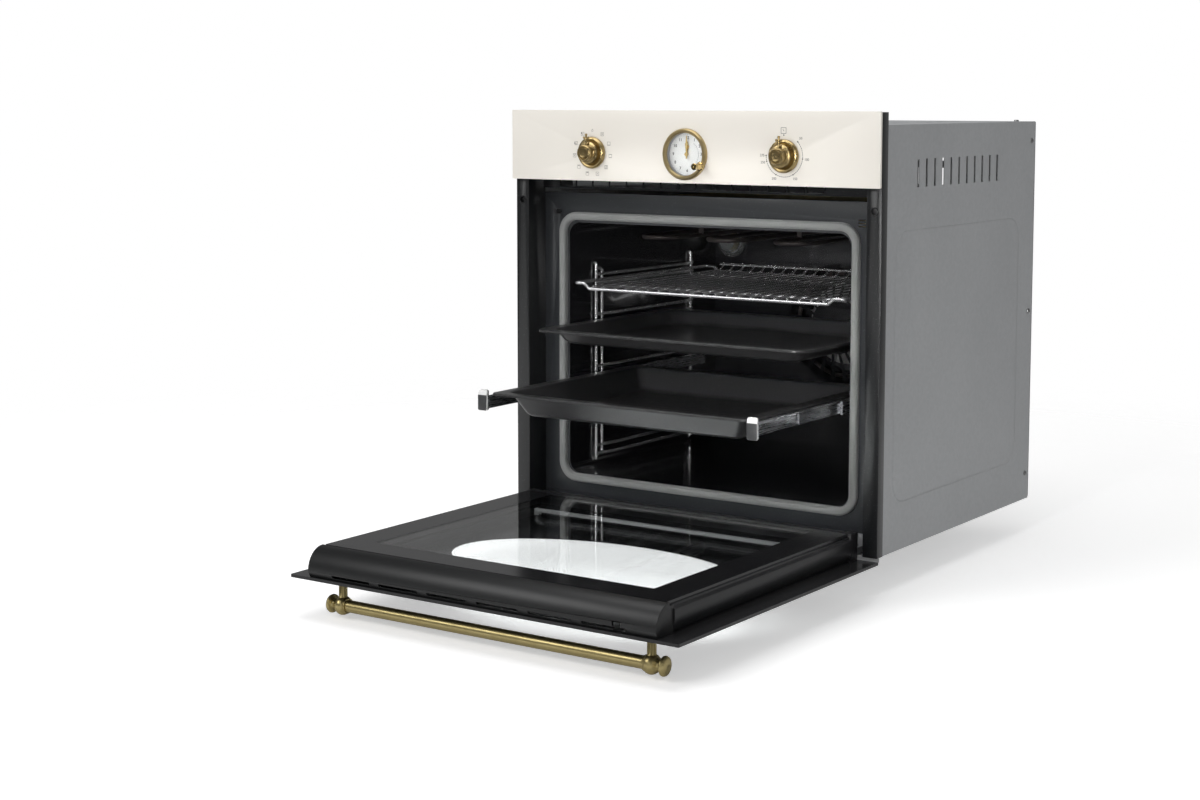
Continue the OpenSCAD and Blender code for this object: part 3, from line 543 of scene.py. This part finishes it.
def polished_brass():
    f = Finish("polished brass", (0.72, 0.53, 0.23), 0.12, Metallic=1.0)
    soft = f.noise(9, 3)
    f.vary("Base Color", f.blend(soft, (0.62, 0.45, 0.18), (0.8, 0.62, 0.3)))
    f.vary("Roughness", 0.08 + soft * 0.08)
    return f.bump(f.noise(2, 2), 0.004).material


def dial():
    f = Finish("clock dial", (0.78, 0.775, 0.76), 0.4)
    f.vary("Base Color", f.blend(f.noise(10, 3), (0.76, 0.755, 0.74), (0.81, 0.805, 0.79)))
    f.vary("Roughness", 0.35 + f.noise(2, 2) * 0.15)
    return f.bump(f.noise(1, 2), 0.006).material


def lit_through(f, glass):
    """Lets the lamps shine through the glass, so that what lies behind it isn't dark."""
    open_way = f.node("ShaderNodeBsdfTransparent", {}, {"Color": (0.9, 0.91, 0.91, 1)})
    return f.mix_shaders(f.light_path("Is Shadow Ray"), glass, open_way)


def clear_glass():
    f = Finish("clear glass", (0.97, 0.98, 0.98), 0.0, Transmission_Weight=1.0, IOR=1.3)
    f.vary("Roughness", f.noise(30, 3).above(0.62, 0.1) * 0.02)
    f.bump(f.noise(40, 1), 0.004)
    f.show(lit_through(f, f.surface()))
    return f.material


def lamp_lens():
    f = Finish("lamp lens", (0.9, 0.92, 0.92), 0.05, Transmission_Weight=0.9, IOR=1.47)
    f.vary("Roughness", 0.04 + f.noise(8, 2) * 0.08)
    return f.bump(f.noise(5, 2), 0.03).material


def moulded(name, low, high, roughness):
    f = Finish(name, low, roughness)
    f.vary("Base Color", f.blend(f.noise(30, 3), low, high))
    f.vary("Roughness", roughness + f.noise(2, 2) * 0.12)
    return f.bump(f.noise(0.8, 2), 0.02).material


def chrome():
    f = Finish("chromed wire", (0.62, 0.62, 0.63), 0.12, Metallic=0.75)
    soft = f.noise(18, 3)
    f.vary("Base Color", f.blend(soft, (0.55, 0.55, 0.56), (0.78, 0.78, 0.79)))
    f.vary("Roughness", 0.16 + soft * 0.14)
    return f.bump(f.noise(2.5, 2), 0.015).material


def rail_steel():
    f = Finish("rail steel", (0.6, 0.61, 0.63), 0.28, Metallic=1.0)
    drawn = f.noise(2, 2, (1, 0.03, 1))
    f.vary("Base Color", f.blend(drawn, (0.46, 0.47, 0.49), (0.7, 0.71, 0.73)))
    f.vary("Roughness", 0.18 + drawn * 0.2)
    return f.bump(drawn, 0.012).material


def printed_glass(name, print_mask, low, high, refraction):
    """Glass with a baked-on print where print_mask gives 1; refraction is that of its clear part."""
    f = Finish(name, low, 0.2, Specular_IOR_Level=0.35)
    f.vary("Base Color", f.blend(f.noise(140, 2), low, high))
    f.vary("Roughness", 0.16 + f.noise(20, 3) * 0.06)
    f.bump(f.noise(60, 1), 0.01)
    clear_part = f.node("ShaderNodeBsdfPrincipled", {},
                        {"Base Color": (0.95, 0.96, 0.96, 1), "Roughness": 0.0,
                         "Transmission Weight": 1.0, "IOR": refraction})
    f.show(f.mix_shaders(print_mask(f), lit_through(f, clear_part), f.surface()))
    return f.material


def outer_print(f):
    """All but an oval window."""
    half_wide, half_deep, middle_y = 212, 122, -250
    x, y = f.axes()[:2]
    reach = ((x / half_wide) ** 2.0 + ((y - middle_y) / half_deep) ** 2.0) ** 0.5
    return reach.above(1.0, 0.005)


def border_print(half, low, high):
    """All but a rectangle, which is given by half its width and by its two ends."""
    def mask(f):
        x, y = f.axes()[:2]
        return abs(x).above(half, 0.3).most(y.below(low, 0.3)).most(y.above(high, 0.3))
    return mask


# All the finishes; the colours are linear
steel, cavity_black, braided = sheet_metal(), black_enamel(), braid()
coat = anthracite("anthracite enamel", (0.023, 0.025, 0.027), (0.033, 0.0355, 0.039))
# The same anthracite paint as the frame's, with its colour painted about four times darker as painted shade
# on the side strips, the panel carrier and the air outlet
shaded_strip_coat = anthracite("anthracite strip painted dark", (0.005, 0.0055, 0.006), (0.008, 0.0088, 0.0097))
tray_black, tube, motor, mineral = tray_enamel(), oxide(), motor_steel(), wool()
cream, bright_brass, white_dial = ivory(), polished_brass(), dial()
brass = antique_brass("antique brass", (0.43, 0.325, 0.155), (0.26, 0.185, 0.075), 0.22)
# Copies of the knobs' antique brass: the clock ring's is rougher as a satin finish and its colour is also
# painted lighter as painted light; the handle's colour is painted lighter as painted light on the bar and
# posts
satin_brass_painted_lighter = antique_brass("satin brass painted lighter", (0.52, 0.41, 0.21), (0.36, 0.265, 0.12), 0.3)
handle_brass_painted_lighter = antique_brass("handle brass painted lighter", (0.52, 0.43, 0.205), (0.35, 0.275, 0.12), 0.27)
clear, lens = clear_glass(), lamp_lens()
bright_wire, drawn_steel = chrome(), rail_steel()
beige = moulded("switch body", (0.55, 0.5, 0.4), (0.62, 0.57, 0.47), 0.45)
profile = moulded("black profile", (0.009, 0.009, 0.01), (0.016, 0.016, 0.018), 0.3)
graphite = moulded("graphite trim", (0.006, 0.0063, 0.0068), (0.01, 0.0105, 0.011), 0.36)
ink = moulded("pale print", (0.22, 0.205, 0.18), (0.27, 0.25, 0.22), 0.35)
dark_ink = moulded("dark print", (0.02, 0.017, 0.015), (0.034, 0.029, 0.025), 0.35)
wall_grey = moulded("clock wall", (0.33, 0.33, 0.34), (0.42, 0.42, 0.43), 0.35)
lip_grey = moulded("pale grey lip", (0.28, 0.285, 0.29), (0.36, 0.365, 0.37), 0.3)
cap_face = moulded("rail cap", (0.03, 0.031, 0.032), (0.046, 0.047, 0.049), 0.3)
cap_white = moulded("rail cap edge", (0.6, 0.6, 0.595), (0.68, 0.68, 0.675), 0.35)
white_plastic = moulded("terminal plastic", (0.7, 0.7, 0.68), (0.78, 0.78, 0.76), 0.4)
rotor = moulded("rotor plastic", (0.02, 0.02, 0.02), (0.035, 0.035, 0.035), 0.5)
outer_glass = printed_glass("outer door glass", outer_print,
                            (0.014, 0.014, 0.015), (0.02, 0.02, 0.021), 1.08)
middle_glass = printed_glass("middle door glass", border_print(238, -452, -60),
                             (0.012, 0.012, 0.013), (0.018, 0.018, 0.019), 1.08)
inner_glass = printed_glass("inner door glass", border_print(215.5, -429.4, -46),
                            (0.008, 0.008, 0.009), (0.014, 0.014, 0.015), 1.2)

# The finish of each CAD node, also of those that a new piece stands for
FINISHES = {
    "housing_base housing_wrap housing_rear blower_housing": steel,
    "hinge_case_left hinge_case_right hinge_arm_left hinge_arm_right": steel,
    "front_frame": coat,
    # These parts take the anthracite copy whose colour is painted darker as painted shade
    "side_strip_left side_strip_right panel_carrier air_outlet": shaded_strip_coat,
    "cavity_liner cavity_rear fan_cover": cavity_black,
    "ring_element grill_element base_element": tube,
    "fan_motor fan_impeller": motor,
    "insulation": mineral,
    "panel_glass": cream,
    "function_knob thermostat_knob": brass,
    # The handle's and the clock ring's brass copies have their colour painted lighter as painted light
    "handle_bar handle_post_left handle_post_right": handle_brass_painted_lighter,
    "clock_bezel": satin_brass_painted_lighter,
    "clock_knob minute_hand hour_hand": bright_brass,
    "clock_case": white_dial,
    "clock_glass": clear,
    "lamp_glass": lens,
    "function_switch thermostat": beige,
    "side_rack_left side_rack_right wire_rack": bright_wire,
    "rail_outer_left rail_mid_left rail_inner_left": drawn_steel,
    "rail_outer_right rail_mid_right rail_inner_right": drawn_steel,
    "door_side_left door_side_right door_bottom_rail door_switch_pin": profile,
    "door_top_trim": graphite,
    "terminal_block": white_plastic,
    "blower_rotor": rotor,
    "door_glass_outer": outer_glass,
    "door_glass_mid": middle_glass,
    "door_glass_inner": inner_glass,
    "cavity_gasket": braided,
    "deep_tray shallow_tray": tray_black,
}
for names, material in FINISHES.items():
    for name in names.split():
        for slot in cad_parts[name].material_slots:
            slot.material = material


# Trays, pressed from one flat blank

def pressed_tray(name, body, corner, rim, slope, lip):
    """A tray in its CAD node's box: its rim is level, its walls lean in by slope, its lip hangs down."""
    low, high = box_of(name)
    half, length, top, depth = high[0], high[1] - low[1], high[2], high[2] - low[2]
    floor_fold, rim_fold, lip_fold, thick = 7, 3, 1.2, 1
    centre = (0, low[1] + length / 2, top)
    tray = blank(name + ".pressed", centre, (2 * half, length))
    pick(tray, "verts")
    bevel(corner, 9, corners=True)
    pick(tray, "faces")
    inset(0.01)
    stretch((half - rim) / half, (length - 2 * rim) / length, 1, centre)
    extrude(z=-depth)
    mouth, mouth_length = half - rim, length - 2 * rim
    stretch((mouth - slope) / mouth, (mouth_length - 2 * slope) / mouth_length, 1, centre)
    pick(tray, "edges", lambda p, e: abs(p.z - (top - depth)) < 0.01)
    bevel(floor_fold, 5)
    pick(tray, "edges", lambda p, e: abs(p.z - top) < 0.01 and folded(e, 2, 0.05))
    bevel(rim_fold, 4)
    pick(tray, "edges", lambda p, e: len(e.link_faces) == 1)
    extrude(z=-lip)
    pick(tray, "edges", lambda p, e: abs(p.z - top) < 0.01 and folded(e, 2, 0.5))
    bevel(lip_fold, 4)
    turn_outwards()
    bpy.ops.object.mode_set(mode="OBJECT")
    apply(tray, "SOLIDIFY", thickness=thick * MM, offset=-1)
    close_mesh(tray, 40)
    finish(tray, body, "tray_enamel", tray_black, name)


pressed_tray("deep_tray", "tray_carriage", corner=13, rim=19, slope=18, lip=3.2)
pressed_tray("shallow_tray", "shallow_tray", corner=25, rim=18, slope=13, lip=3.6)


# The soft loop round the cavity's mouth

def gasket():
    low, high = box_of("cavity_gasket")
    corner, wide, round_off = 30, 11.6, 4.6
    front, back = low[1], high[1]
    loop = blank("gasket.braid", (0, back, (low[2] + high[2]) / 2), (2 * high[0], high[2] - low[2]), "front")
    pick(loop, "verts")
    bevel(corner, 12, corners=True)
    pick(loop, "faces")
    inset(wide)
    bpy.ops.mesh.delete(type="FACE")
    pick(loop, "faces")
    extrude(y=front - back)
    pick(loop, "edges", lambda p, e: abs(p.y - front) < 0.01 and folded(e, 1, 0.5))
    bevel(round_off, 6)
    turn_outwards()
    close_mesh(loop, 60)
    finish(loop, "housing", "door_gasket", braided, "cavity_gasket")


gasket()


# Prints on the control panel

FUNCTIONS = ("off", "lamp", "below", "above below", "above below fan", "fan", "grill", "grill", "above fan",
             "below fan", "fan")


def function_icons():
    """The cooking functions round the left knob, clockwise from the top: lamp, heat and fan in a box."""
    y, r, reach = PANEL_FACE, 31, 1.7
    fine, wide = 0.45, 0.7
    icons = start_print("function.icons")
    for number, function in enumerate(FUNCTIONS):
        x, z = polar(-KNOB_X, KNOB_Z, r, number * 360 / len(FUNCTIONS))
        if function == "off":
            ring(x, y, z, 1.6, fine)
            bar(x, y, z + 1.5, 1.8, fine, 90)
            continue
        square(x, y, z, 2.4, 4.8, 5.1, fine)
        if function == "lamp":
            ring(x, y, z, 1.1, fine)
            for turn in (45, 135, 225, 315):
                ray_x, ray_z = polar(x, z, reach, 90 - turn)
                bar(ray_x, y, ray_z, 0.7, fine, turn)
        if function == "grill":
            bar(x, y, z + reach, 3.4, wide)
            for step in (-1, 0, 1):
                bar(x + step * 1.2, y, z + 0.9, 0.9, fine, -60 if step else 60)
        if "above" in function:
            bar(x, y, z + reach, 3.4, fine)
        if "below" in function:
            bar(x, y, z - reach, 3.4, fine)
        if "fan" in function:
            for turn in (45, 135):
                bar(x, y, z - 0.1, 2.2, fine, turn)
            dot(x, y, z - 0.1, 0.45)
    end_print(icons)
    finish(icons, "housing", "ivory_enamel", ink)


def function_dots():
    """Two dark dots at the last two icons."""
    marks = start_print("function.dots")
    for clock in (293, 325.5):
        x, z = polar(-KNOB_X, KNOB_Z, 33, clock)
        dot(x, PANEL_FACE, z, 1.0)
    end_print(marks)
    finish(marks, "housing", "ivory_enamel", dark_ink)


# Where each number of degrees stands round the right knob, as an angle clockwise from the top
SCALE = {"50": 46, "100": 97, "150": 151, "200": 207, "250": 255, "275": 271}


def heat_scale():
    """A dashed arc from 50 to 275 degrees round the right knob, with a dot at each number."""
    arc_r, arc_wide, dots_r = 28.1, 0.75, 27.8
    arc = start_print("scale.arc")
    ring(KNOB_X, PANEL_FACE, KNOB_Z, arc_r, arc_wide, 180)

    def gone(p, face):
        clock = math.degrees(math.atan2(p.x - KNOB_X, p.z - KNOB_Z)) % 360
        return not SCALE["50"] < clock < SCALE["275"] or int(clock / 2) % 3 == 2
    pick(arc, "faces", gone)
    bpy.ops.mesh.delete(type="FACE")
    for clock in SCALE.values():
        x, z = polar(KNOB_X, KNOB_Z, dots_r, clock)
        dot(x, PANEL_FACE, z, 1.0)
    end_print(arc)
    finish(arc, "housing", "ivory_enamel", dark_ink)


def heat_numbers():
    words = []
    for number, clock in SCALE.items():
        r = 34.2 if clock < 200 else 33.8
        x, z = polar(KNOB_X, KNOB_Z, r, clock)
        words.append(lettering(number, x, PANEL_FACE, z, 4.6, 0.1))
    finish(join("scale.numbers", words), "housing", "ivory_enamel", ink)


def heat_lamp_icon():
    """The box over the right knob, with a slash in it and a dot under it."""
    x, y, z, line = KNOB_X - 1.5, PANEL_FACE, KNOB_Z + 33.9, 0.5
    icon = start_print("scale.icon")
    square(x, y, z, 3.8, 7.4, 8.1, line)
    bar(x, y, z + 0.3, 3.4, line, -50)
    dot(x + 0.4, y, z - 6.0, 0.9)
    end_print(icon)
    finish(icon, "housing", "ivory_enamel", dark_ink)


def clock_numerals():
    words = []
    for hour in range(1, 13):
        x, z = polar(0, KNOB_Z, 22.6, hour * 30)
        words.append(lettering(str(hour), x, DIAL_FACE, z, 5.6, 0.12))
    finish(join("clock.numerals", words), "housing", "clock_dial", dark_ink)


def clock_marks():
    """The minute marks, and inside the numerals the timer's thin arc with its ticks."""
    minute_r, tick_r, arc_r = 27.2, 17.4, 18.2
    marks = start_print("clock.marks")
    for minute in range(60):
        length, width = (0.9, 0.16) if minute % 5 else (1.6, 0.3)
        x, z = polar(0, KNOB_Z, minute_r, minute * 6)
        bar(x, DIAL_FACE, z, length, width, 90 - minute * 6)
    for clock in range(35, 170, 10):
        x, z = polar(0, KNOB_Z, tick_r, clock)
        bar(x, DIAL_FACE, z, 1.4, 0.22, 90 - clock)
    for clock in range(36, 164, 2):
        x, z = polar(0, KNOB_Z, arc_r, clock)
        bar(x, DIAL_FACE, z, 0.7, 0.24, -clock)
    end_print(marks)
    finish(marks, "housing", "clock_dial", dark_ink)


function_icons()
function_dots()
heat_scale()
heat_numbers()
heat_lamp_icon()
clock_numerals()
clock_marks()


# The clock's grey inner wall

def clock_wall():
    radius, depth, thick = 29.45, 5.2, 0.4
    bpy.ops.object.select_all(action="DESELECT")
    bpy.ops.mesh.primitive_circle_add(vertices=64, radius=radius * MM, rotation=FACING["front"],
                                      location=(0, DIAL_FACE * MM, KNOB_Z * MM))
    tunnel = bpy.context.object
    tunnel.name = "clock.wall"
    open_mesh(tunnel)
    pick(tunnel, "edges")
    extrude(y=-depth)
    bpy.ops.mesh.select_all(action="SELECT")
    bpy.ops.mesh.normals_make_consistent(inside=True)
    close_mesh(tunnel)
    apply(tunnel, "SOLIDIFY", thickness=thick * MM, offset=1)
    finish(tunnel, "housing", "clock_dial", wall_grey)


clock_wall()


# The caps at the front of the telescopic rails

def rail_cap(side, end):
    """A bright cap over the rail's front, with a top that slopes back, and a grey plate on its face."""
    low, high = box_of("rail_inner_" + end)
    x, back, foot, fold, top = side * 214.5, low[1], 184.4, 206, high[2] + 0.2
    wide, thick, top_thick, plate_thick, plate_gap = 15, 2.6, 0.4, 0.4, 0.15
    front = back - thick
    tilt = math.atan2(thick - top_thick, top - fold)
    cap = blank("rail_cap." + end, (x, back, (foot + top) / 2), (wide, top - foot), "front")
    pick(cap, "verts")
    bevel(2.4, 5, corners=True)
    pick(cap, "faces")
    extrude(y=-thick)
    bpy.ops.mesh.select_all(action="SELECT")
    bpy.ops.mesh.bisect(plane_co=(0, front * MM, fold * MM), plane_no=(0, -math.cos(tilt), math.sin(tilt)),
                        use_fill=True, clear_outer=True)
    pick(cap, "edges", lambda p, e: p.y < back - 0.2 and len(e.link_faces) == 2
         and e.link_faces[0].normal.dot(e.link_faces[1].normal) < 0.8)
    bevel(0.25, 2)
    turn_outwards()
    close_mesh(cap, 30)
    finish(cap, "tray_carriage", "rail_steel", cap_white)

    plate = blank("rail_cap_plate." + end, (x, front + 0.05, (foot + fold) / 2),
                  (wide - 2 * plate_gap, fold - foot - 2 * plate_gap), "front")
    pick(plate, "verts", lambda p, v: p.z < fold - 5)
    bevel(2.2, 5, corners=True)
    pick(plate, "faces")
    extrude(y=-plate_thick)
    pick(plate, "edges", lambda p, e: p.y < front - 0.3)
    bevel(0.12, 2)
    turn_outwards()
    close_mesh(plate, 30)
    finish(plate, "tray_carriage", "rail_steel", cap_face)


for side, end in SIDES:
    rail_cap(side, end)


# Small parts of the door

def rear_lip():
    """The pale upturned lip along the rear edge of the outer glass, cut away at the hinges."""
    low, high = box_of("door_glass_outer")
    arm_low, arm_high = box_of("hinge_arm_right")
    deep, rise, thick, gap = 2.4, 4.6, 0.7, 2.1
    near, far = arm_low[0] - gap, arm_high[0] + gap
    rear = high[1] - 0.2
    lip = blank("door.rear_lip", (0, rear - deep / 2, high[2] + 0.1), (high[0] - low[0], deep))
    for x in (-far, -near, near, far):
        split_at(x)
    pick(lip, "faces", lambda p, f: near < abs(p.x) < far)
    bpy.ops.mesh.delete(type="FACE")
    pick(lip, "edges", lambda p, e: p.y > rear - 0.1)
    extrude(z=rise)
    extrude(y=-0.7, z=0.9)
    turn_outwards()
    wall(lip, thick, -1, 0.2)
    finish(lip, "door", "rail_steel", lip_grey)


def heat_shield():
    """The pale bar between the door glasses, near the hinges, on two small feet."""
    y, z, length, width = -99.4, 28.6, 404, 6
    flange, foot, foot_length = 4, 4.7, 8
    shield = blank("door.spacer", (0, y, z), (length, width))
    for side in (-1, 1):
        pick(shield, "edges", lambda p, e: side * (p.y - y) > width / 2 - 0.5)
        extrude(z=-flange)
    foot_x = length / 2 - foot_length
    for side in (-1, 1):
        split_at(side * foot_x)
    pick(shield, "edges", lambda p, e: abs(p.x) > foot_x + 1 and p.z < z - flange + 0.4)
    extrude(z=-foot)
    wall(shield, 0.8, 0, 0.25)
    finish(shield, "door", "rail_steel", lip_grey)


rear_lip()
heat_shield()


# Sheets, trims, rails and handle posts with their edges eased

def short_foot(piece):
    """Lifts the lower end of a rail's front flange to where its cap ends."""
    flange_y, foot_z, lift = -198.9, 186, 3.4
    pick(piece, "verts", lambda p, v: p.y < flange_y and p.z < foot_z)
    move(z=lift)


def fuller_ball(side):
    """Gives back what widens the ball of the handle post on one side."""
    x, y, z = 237.5, -467, -37.5
    wider = 1.09

    def on_ball(p, vert):
        return -6 < side * p.x - x < 8 and 9 < math.hypot(p.y - y, p.z - z) < 12

    def shape(piece):
        pick(piece, "verts", on_ball)
        stretch(1, wider, wider, (side * x, y, z))
    return shape


eased("front_frame", "housing", "anthracite_frame", coat, 0.3)
for side, end in SIDES:
    eased("side_strip_" + end, "housing", "anthracite_frame", shaded_strip_coat, 0.3)
eased("panel_glass", "housing", "ivory_enamel", cream, 0.6, 3)
eased("terminal_block", "housing", "switch_body", white_plastic, 0.8, 3)
eased("door_top_trim", "door", "graphite_trim", graphite, 0.6, 3)
for node in ("door_side_left", "door_side_right", "door_bottom_rail"):
    eased(node, "door", "black_profile", profile, 0.4)
for side, end in SIDES:
    eased("rail_inner_" + end, "tray_carriage", "rail_steel", drawn_steel, 0.3, shape=short_foot)
    eased("handle_post_" + end, "door", "antique_brass", handle_brass_painted_lighter, 0.15, angle=60,
          shape=fuller_ball(side))


# The housing's pressed fields, seam and screws

WRAP_X, WRAP_TOP = box_of("housing_wrap")[1][::2]

# The seam and the screws on the rear stand 3 mm behind the rear cover's face, which is at 522
SEAM_Y, SEAM_THICK = 525.1, 0.8
MOTOR_SCREW_Y = 525


def field(facing, centre, size):
    """A pressed field that stands out of the left, right or top sheet."""
    corner, rise, slope, thick = 34, 1.6, 9, 0.3
    piece = blank("housing.field_" + facing, (0, 0, 0), size)
    pick(piece, "verts")
    bevel(corner, 10, corners=True)
    pick(piece, "faces")
    for share in (0.35, 0.5, 0.15):
        inset(slope / 3)
        move(z=rise * share)
    bpy.ops.object.mode_set(mode="OBJECT")
    piece.rotation_euler = FACING[facing]
    piece.location = [c * MM for c in centre]
    close_mesh(piece, 60)
    apply(piece, "SOLIDIFY", thickness=thick * MM, offset=-1)
    finish(piece, "housing", "galvanised_sheet", steel)


def rear_seam():
    """The flat flange along the edges of the rear cover."""
    size, width = (558, 575), 14
    seam = blank("housing.rear_seam", (0, SEAM_Y, 288.5), size, "rear")
    pick(seam, "faces")
    inset(width)
    bpy.ops.mesh.delete(type="FACE")
    pick(seam, "faces")
    extrude(y=SEAM_THICK)
    pick(seam, "edges", lambda p, e: p.y > SEAM_Y + SEAM_THICK - 0.1 and folded(e, 1, 0.5))
    bevel(0.5, 3)
    turn_outwards()
    close_mesh(seam, 50)
    finish(seam, "housing", "galvanised_sheet", steel)


def pan_head():
    """A pan-head screw with a cross recess, its head towards +Z."""
    bpy.ops.object.select_all(action="DESELECT")
    bpy.ops.mesh.primitive_circle_add(vertices=24, radius=3.7 * MM, fill_type="NGON")
    head = bpy.context.object
    open_mesh(head)
    pick(head, "faces")
    extrude(z=1.1)
    for step_in, rise in ((0.5, 0.7), (0.9, 0.4)):
        inset(step_in)
        move(z=rise)
    bpy.ops.object.mode_set(mode="OBJECT")
    cutters = []
    for turn in (0, QUARTER):
        bpy.ops.mesh.primitive_cube_add(size=MM, location=(0, 0, 1.9 * MM), rotation=(0, 0, turn))
        cutter = bpy.context.object
        open_mesh(cutter)
        bpy.ops.mesh.select_all(action="SELECT")
        bpy.ops.transform.resize(value=(3.6, 0.8, 1.8), orient_type="LOCAL")
        bpy.ops.object.mode_set(mode="OBJECT")
        cutters.append(cutter)
    for cutter in cutters:
        apply(head, "BOOLEAN", operation="DIFFERENCE", object=cutter)
    bpy.ops.object.select_all(action="DESELECT")
    for cutter in cutters:
        cutter.select_set(True)
    bpy.ops.object.delete()
    close_mesh(head, 40)
    return head


def screws(name, body, slot, material, places):
    """Copies of one screw, each at a place in millimetres and facing one way, joined into one piece."""
    model = pan_head()
    copies = []
    for x, y, z, facing in places:
        copy = model.copy()
        copy.data = model.data.copy()
        bpy.context.scene.collection.objects.link(copy)
        copy.location = (x * MM, y * MM, z * MM)
        copy.rotation_euler = FACING[facing]
        only(copy)
        place_in_mesh()
        copies.append(copy)
    only(model)
    bpy.ops.object.delete()
    finish(join(name, copies), body, slot, material)


for side, end in SIDES:
    field(end, (side * (WRAP_X + 0.02), 262, 250), (370, 410))
field("top", (0, 205, WRAP_TOP + 0.02), (430, 300))
rear_seam()

NEAR_FRONT, NEAR_REAR = 14, 508
side_screws = [(side * WRAP_X, y, z, end) for side, end in SIDES
               for y in (NEAR_FRONT, NEAR_REAR) for z in (40, 290, 548)]
seam_screws = [(x, SEAM_Y + SEAM_THICK, z, "rear") for x in (-272, 272) for z in (40, 200, 380, 545)]
seam_screws += [(x, SEAM_Y + SEAM_THICK, z, "rear") for x in (-130, 0, 130) for z in (7, 570)]
motor_screws = [(x, MOTOR_SCREW_Y, z, "rear") for x in (-118, 118) for z in (250, 190)]
top_screws = [(x, y, WRAP_TOP, "top") for x in (-255, 0, 255) for y in (NEAR_FRONT, NEAR_REAR)]
screws("housing.screws", "housing", "galvanised_sheet", motor,
       side_screws + seam_screws + motor_screws + top_screws)


# The room: pale floor, white surroundings and soft lamps

def pale_floor():
    """A floor under the open door's handle, which keeps the shadow for the camera and fades to clear air far
    away; it glows as painted light where it is seen through glass.
    """
    handle_low = box_of("handle_post_left")[0][2]
    bpy.ops.object.select_all(action="DESELECT")
    bpy.ops.mesh.primitive_plane_add(size=5, location=(0, 0, (handle_low - 5.3) * MM))
    floor = bpy.context.object
    floor.name = "floor"
    f = Finish("pale floor", (0.86, 0.86, 0.86), 0.6)
    seen, through = f.light_path("Is Camera Ray"), f.light_path("Is Transmission Ray")
    # The glow makes the floor white for the camera, and is four times stronger where the floor is seen
    # through glass: painted light that lifts the open door's shadow in its window
    glow = f.node("ShaderNodeEmission", {}, {"Color": (1, 1, 1, 1), "Strength": seen * 0.45 + through * 1.8})
    lit = f.node("ShaderNodeAddShader", {}, [f.surface(), glow])
    x, y = f.axes()[:2]
    far = ((x ** 2.0 + y ** 2.0) ** 0.5).above(1500, 600)
    f.show(f.mix_shaders(far, lit, f.node("ShaderNodeBsdfTransparent")))
    floor.data.materials.append(f.material)


def white_room():
    """White for the camera and for rays that leave a glass downwards; mirrors see a soft grey wall."""
    world = bpy.data.worlds.new("white room")
    bpy.context.scene.world = world
    world.use_nodes = True
    sky = Nodes(world.node_tree)
    seen, through = sky.light_path("Is Camera Ray"), sky.light_path("Is Transmission Ray")
    way = sky.node("ShaderNodeTexCoord")
    back, upwards = (sky.node("ShaderNodeSeparateXYZ", (), [way], axis) for axis in (1, 2))
    white = seen.most(through * (upwards < 0.0))
    mirror = sky.light_path("Is Glossy Ray").most(through)
    grey_wall = 0.08 + 0.2 * back.above(0.2, 0.15) * upwards.below(0.35, 0.15)
    soft_light = 0.42
    strength = white + (1 - white) * (soft_light * (1 - mirror) + grey_wall * mirror)
    air = sky.node("ShaderNodeBackground", {}, {"Color": (1, 1, 1, 1), "Strength": strength})
    sky.show(air, "World Output")


def lamp(name, place, target, size, power, spread=180):
    """A soft lamp; spread is the angle of its light in degrees."""
    bpy.ops.object.light_add(type="AREA", location=place)
    light = bpy.context.object
    light.name = name
    light.rotation_euler = (Vector(target) - Vector(place)).to_track_quat("-Z", "Y").to_euler()
    light.data.shape = "RECTANGLE"
    light.data.size, light.data.size_y = size
    light.data.energy = power
    light.data.spread = math.radians(spread)


def camera():
    """Looks at the oven from the photograph's side, leaning down a little."""
    lean, heading = math.radians(5.838105), math.radians(34.765239)
    bpy.ops.object.camera_add(location=(1.48687, -2.37175, 0.61282), rotation=(QUARTER - lean, 0, heading))
    view = bpy.context.object
    view.data.lens = 60.58952
    view.data.shift_y = -0.08
    view.data.clip_end = 200
    bpy.context.scene.camera = view


pale_floor()
white_room()
lamp("key lamp", (-1.6, -2.6, 2.2), (0, 0, 0.3), (2.0, 1.6), 43)
lamp("side lamp", (2.6, -1.6, 1.2), (0, 0.1, 0.3), (1.6, 2.0), 6)
lamp("top lamp", (0.0, -0.3, 2.6), (0, -0.1, 0.2), (2.2, 1.6), 26)
lamp("front lamp", (0.7, -2.8, 0.8), (0, 0.2, 0.25), (1.4, 1.0), 2.5)
lamp("cavity lamp", (0.25, -1.3, 0.45), (0, 0.3, 0.2), (0.5, 0.3), 0.65, 30)
camera()
bpy.context.scene.view_settings.view_transform = "Standard"
